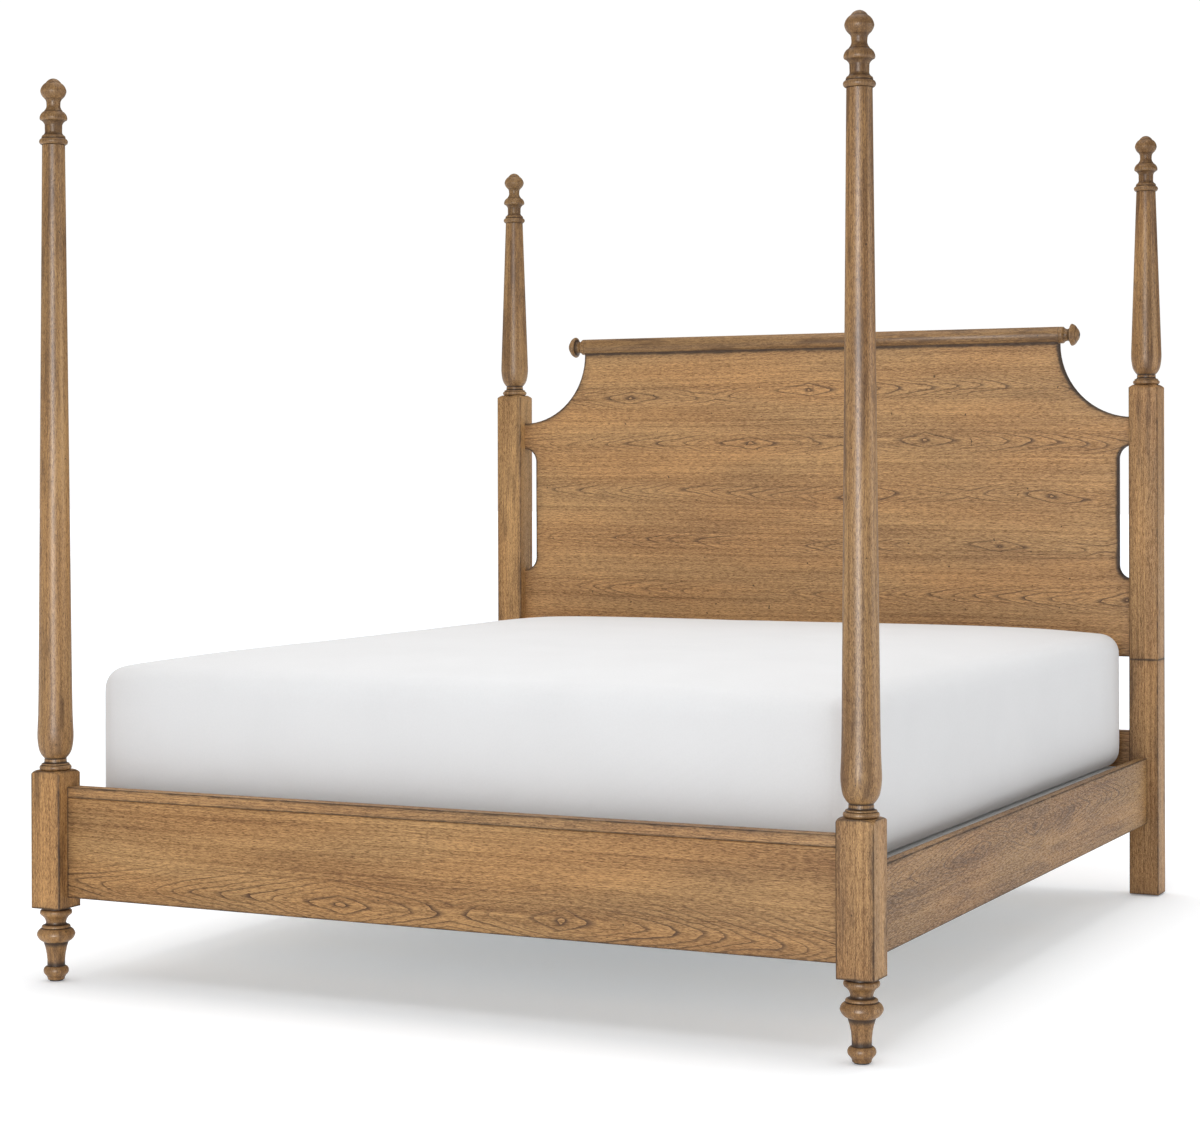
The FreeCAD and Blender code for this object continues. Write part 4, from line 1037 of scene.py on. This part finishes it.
MATTRESS_INSET = 0.005
MATTRESS_ROUNDING = 0.05
MATTRESS_GRID = 0.035
MATTRESS_CROWN = 0.03
CROWN_CLEARANCE = 0.004
CROWN_FLATNESS = 6
mattress_low, mattress_high = corners("mattress")
mattress_inset = Vector((MATTRESS_INSET, MATTRESS_INSET, 0))
mattress_low += mattress_inset
mattress_high -= mattress_inset + Vector((0, 0, MATTRESS_CROWN))
mattress_middle = (mattress_low + mattress_high) / 2
mattress_half = (mattress_high - mattress_low) / 2
block = padded_block(mattress_low, mattress_high, MATTRESS_ROUNDING, MATTRESS_GRID)
for vertex in block.verts:
    reach = [min(1, abs(vertex.co[axis] - mattress_middle[axis]) / mattress_half[axis]) for axis in range(2)]
    if vertex.co.z > mattress_middle.z:
        full = (1 - reach[0] ** CROWN_FLATNESS) * (1 - reach[1] ** CROWN_FLATNESS)
        vertex.co.z += (MATTRESS_CROWN - CROWN_CLEARANCE) * full
mattress = put_up("mattress_padded", smooth_mesh("mattress_padded", block))

COVER_CLOTH = {
    "quality": 6, "mass": 0.4, "tension_stiffness": 60, "compression_stiffness": 60, "bending_stiffness": 2,
    "use_pressure": True,
}
SETTLING_FRAMES = 20
MATTRESS_PRESSURE = 3
SWELL_LIMIT = 0.008


def settle_cover(piece, pressure, limit):
    """Let the cover of a padded piece settle over its filling, and move no point past the limit."""
    scene = bpy.context.scene
    cover = piece.modifiers.new("cover", "CLOTH")
    for setting, value in COVER_CLOTH.items():
        setattr(cover.settings, setting, value)
    cover.settings.uniform_pressure_force = pressure
    cover.settings.effector_weights.gravity = 0
    for number in range(1, SETTLING_FRAMES + 1):
        scene.frame_set(number)
    settled = piece.evaluated_get(bpy.context.evaluated_depsgraph_get()).data
    after = np.empty(len(settled.vertices) * 3)
    settled.vertices.foreach_get("co", after)
    before = np.empty_like(after)
    piece.data.vertices.foreach_get("co", before)
    move = (after - before).reshape(-1, 3)
    length = np.linalg.norm(move, axis=1, keepdims=True)
    move *= np.minimum(1, limit / np.maximum(length, TOUCHING))
    piece.modifiers.remove(cover)
    piece.data.vertices.foreach_set("co", before + move.ravel())
    scene.frame_set(1)


settle_cover(mattress, MATTRESS_PRESSURE, SWELL_LIMIT)
smooth = mattress.modifiers.new("smooth", "SUBSURF")
smooth.levels = 1
smooth.render_levels = 1
white_knit = cloth("white_knit", KNIT_WHITE, KNIT_THREAD, KNIT_BUMP)
settle(mattress, white_knit, "mattress", "mattress")

# Foundation: a low pine frame covered in white ticking, stretched flat and stapled underneath. It
# lies loose on the slats.
TICKING_WHITE = (0.8, 0.8, 0.79, 1)
TICKING_THREAD = 0.0016
TICKING_BUMP = 0.3
FOUNDATION_ROUNDING = 0.014
FOUNDATION_GRID = 0.06
block = padded_block(*corners("foundation"), FOUNDATION_ROUNDING, FOUNDATION_GRID)
foundation = put_up("foundation_covered", smooth_mesh("foundation_covered", block))
white_ticking = cloth("white_ticking", TICKING_WHITE, TICKING_THREAD, TICKING_BUMP)
settle(foundation, white_ticking, "foundation", "foundation")

# Floor: a pale seamless sheet that ends far off. It glows a little, and more further away, so that
# only the shadow under the bed shows.
FLOOR_HALF = 60
FLOOR_DROP = 0.0005
FLOOR_PARTS = 4
FLOOR_ROUGHNESS = 0.9
PAPER_LIGHT = (0.95, 0.95, 0.95, 1)
PAPER_DARK = (0.93, 0.93, 0.93, 1)
PAPER_MARKS = (30, 2)
GLOW_COLOUR = (0.8, 0.9, 1, 1)
GLOW_RISE = (3.2, 9.0)
GLOW_NEAR = 0.19
GLOW_GROWTH = 0.3
built = bmesh.new()
bmesh.ops.create_grid(built, x_segments=FLOOR_PARTS, y_segments=FLOOR_PARTS, size=FLOOR_HALF)
floor = put_up("floor", smooth_mesh("floor", built))
floor.location.z = -FLOOR_DROP
paper = Finish("pale_floor", FLOOR_ROUGHNESS)
speckle = paper.noise(paper.place(), *PAPER_MARKS)
paper.set("Base Color", paper.mix(speckle, PAPER_DARK, PAPER_LIGHT))
paper.set("Specular IOR Level", 0.0)
paper.set("Emission Color", GLOW_COLOUR)
far_off = paper.vector_math("LENGTH", paper.place())
glow = paper.math("MULTIPLY_ADD", paper.rise(far_off, *GLOW_RISE), GLOW_GROWTH, GLOW_NEAR)
paper.set("Emission Strength", glow)
floor.data.materials.append(paper.material)

# Light: a white room that darkens towards the foot end, a soft lamp above, a wide one in front, and
# two lamps that only show as reflections down the turned posts.
DARK_SIDE = (0.42, -0.9, 0.0)
ROOM_LEVELS = {"From Min": 0.0, "From Max": 0.85, "To Min": 1.02, "To Max": 0.4}
GLOSS_LEVELS = {"To Min": 1.0, "To Max": 0.2}
WHITE = (1, 1, 1, 1)
LAMPS = (
    {"name": "top_lamp", "place": (0, 0, 5.5), "aim": (0, 0, 0), "width": 4, "height": 4, "power": 95},
    {"name": "fill_lamp", "place": (1.2, -7.5, 2.5), "aim": (0, 0, 0.8), "width": 3, "height": 3,
     "power": 112, "gloss": False},
    {"name": "front_lamp", "place": (1.5, -6.6, 1.55), "aim": (0.3, -1, 1.2), "width": 2.2, "height": 3.0,
     "power": 520, "diffuse": False},
    {"name": "right_lamp", "place": (5.5, 0.4, 1.4), "aim": (0.5, 0, 1.2), "width": 2.4, "height": 2.8,
     "power": 75, "diffuse": False},
)
world = bpy.data.worlds.new("room")
bpy.context.scene.world = world
room = Nodes(world)
towards = room.vector_math("DOT_PRODUCT", room.node("TexCoord").outputs["Generated"], DARK_SIDE)
bright = room.node("MapRange", {"Value": towards, **ROOM_LEVELS}, interpolation_type="SMOOTHSTEP").outputs[0]
ray = room.node("LightPath").outputs
in_gloss = room.node("MapRange", {"Value": ray["Is Glossy Ray"], **GLOSS_LEVELS}).outputs[0]
bright = room.math("MAXIMUM", room.math("MULTIPLY", bright, in_gloss), ray["Is Camera Ray"])
room.feed(room.nodes["Background"].inputs["Strength"], bright)
room.feed(room.nodes["Background"].inputs["Color"], WHITE)
bpy.context.scene.view_settings.view_transform = "Standard"


def lamp(name, place, aim, width, height, power, diffuse=True, gloss=True):
    """A soft lamp that lights surfaces, shows as a reflection in them, or both."""
    light = bpy.data.lights.new(name, "AREA")
    light.shape = "RECTANGLE"
    light.size = width
    light.size_y = height
    light.energy = power
    stand = put_up(name, light)
    stand.location = place
    stand.visible_diffuse = diffuse
    stand.visible_glossy = gloss
    stand.rotation_euler = (Vector(aim) - Vector(place)).to_track_quat("-Z", "Y").to_euler()


for settings in LAMPS:
    lamp(**settings)

# Camera: it stands at the foot end on the right, at chest height, and looks level at the bed. The
# picture is shifted a little instead of tilted, so that the posts stay upright in it.
CAMERA_PLACE = (2.7103, -5.84425, 1.1463)
CAMERA_YAW = math.radians(25.967)
CAMERA_PITCH = math.radians(0.149)
CAMERA_ROLL = math.radians(-0.158)
CAMERA_LENS = 77.898
CAMERA_SENSOR = 36
CAMERA_SHIFT = -0.0696
VIEW_DEPTH = 100
camera_data = bpy.data.cameras.new("camera")
camera_data.sensor_width = CAMERA_SENSOR
camera_data.sensor_fit = "HORIZONTAL"
camera_data.lens = CAMERA_LENS
camera_data.shift_y = CAMERA_SHIFT
camera_data.clip_end = VIEW_DEPTH
camera = put_up("camera", camera_data)
look = Matrix.Rotation(CAMERA_YAW, 4, "Z") @ Matrix.Rotation(math.pi / 2 - CAMERA_PITCH, 4, "X")
look = look @ Matrix.Rotation(CAMERA_ROLL, 4, "Z")
camera.matrix_world = Matrix.Translation(CAMERA_PLACE) @ look
bpy.context.scene.camera = camera
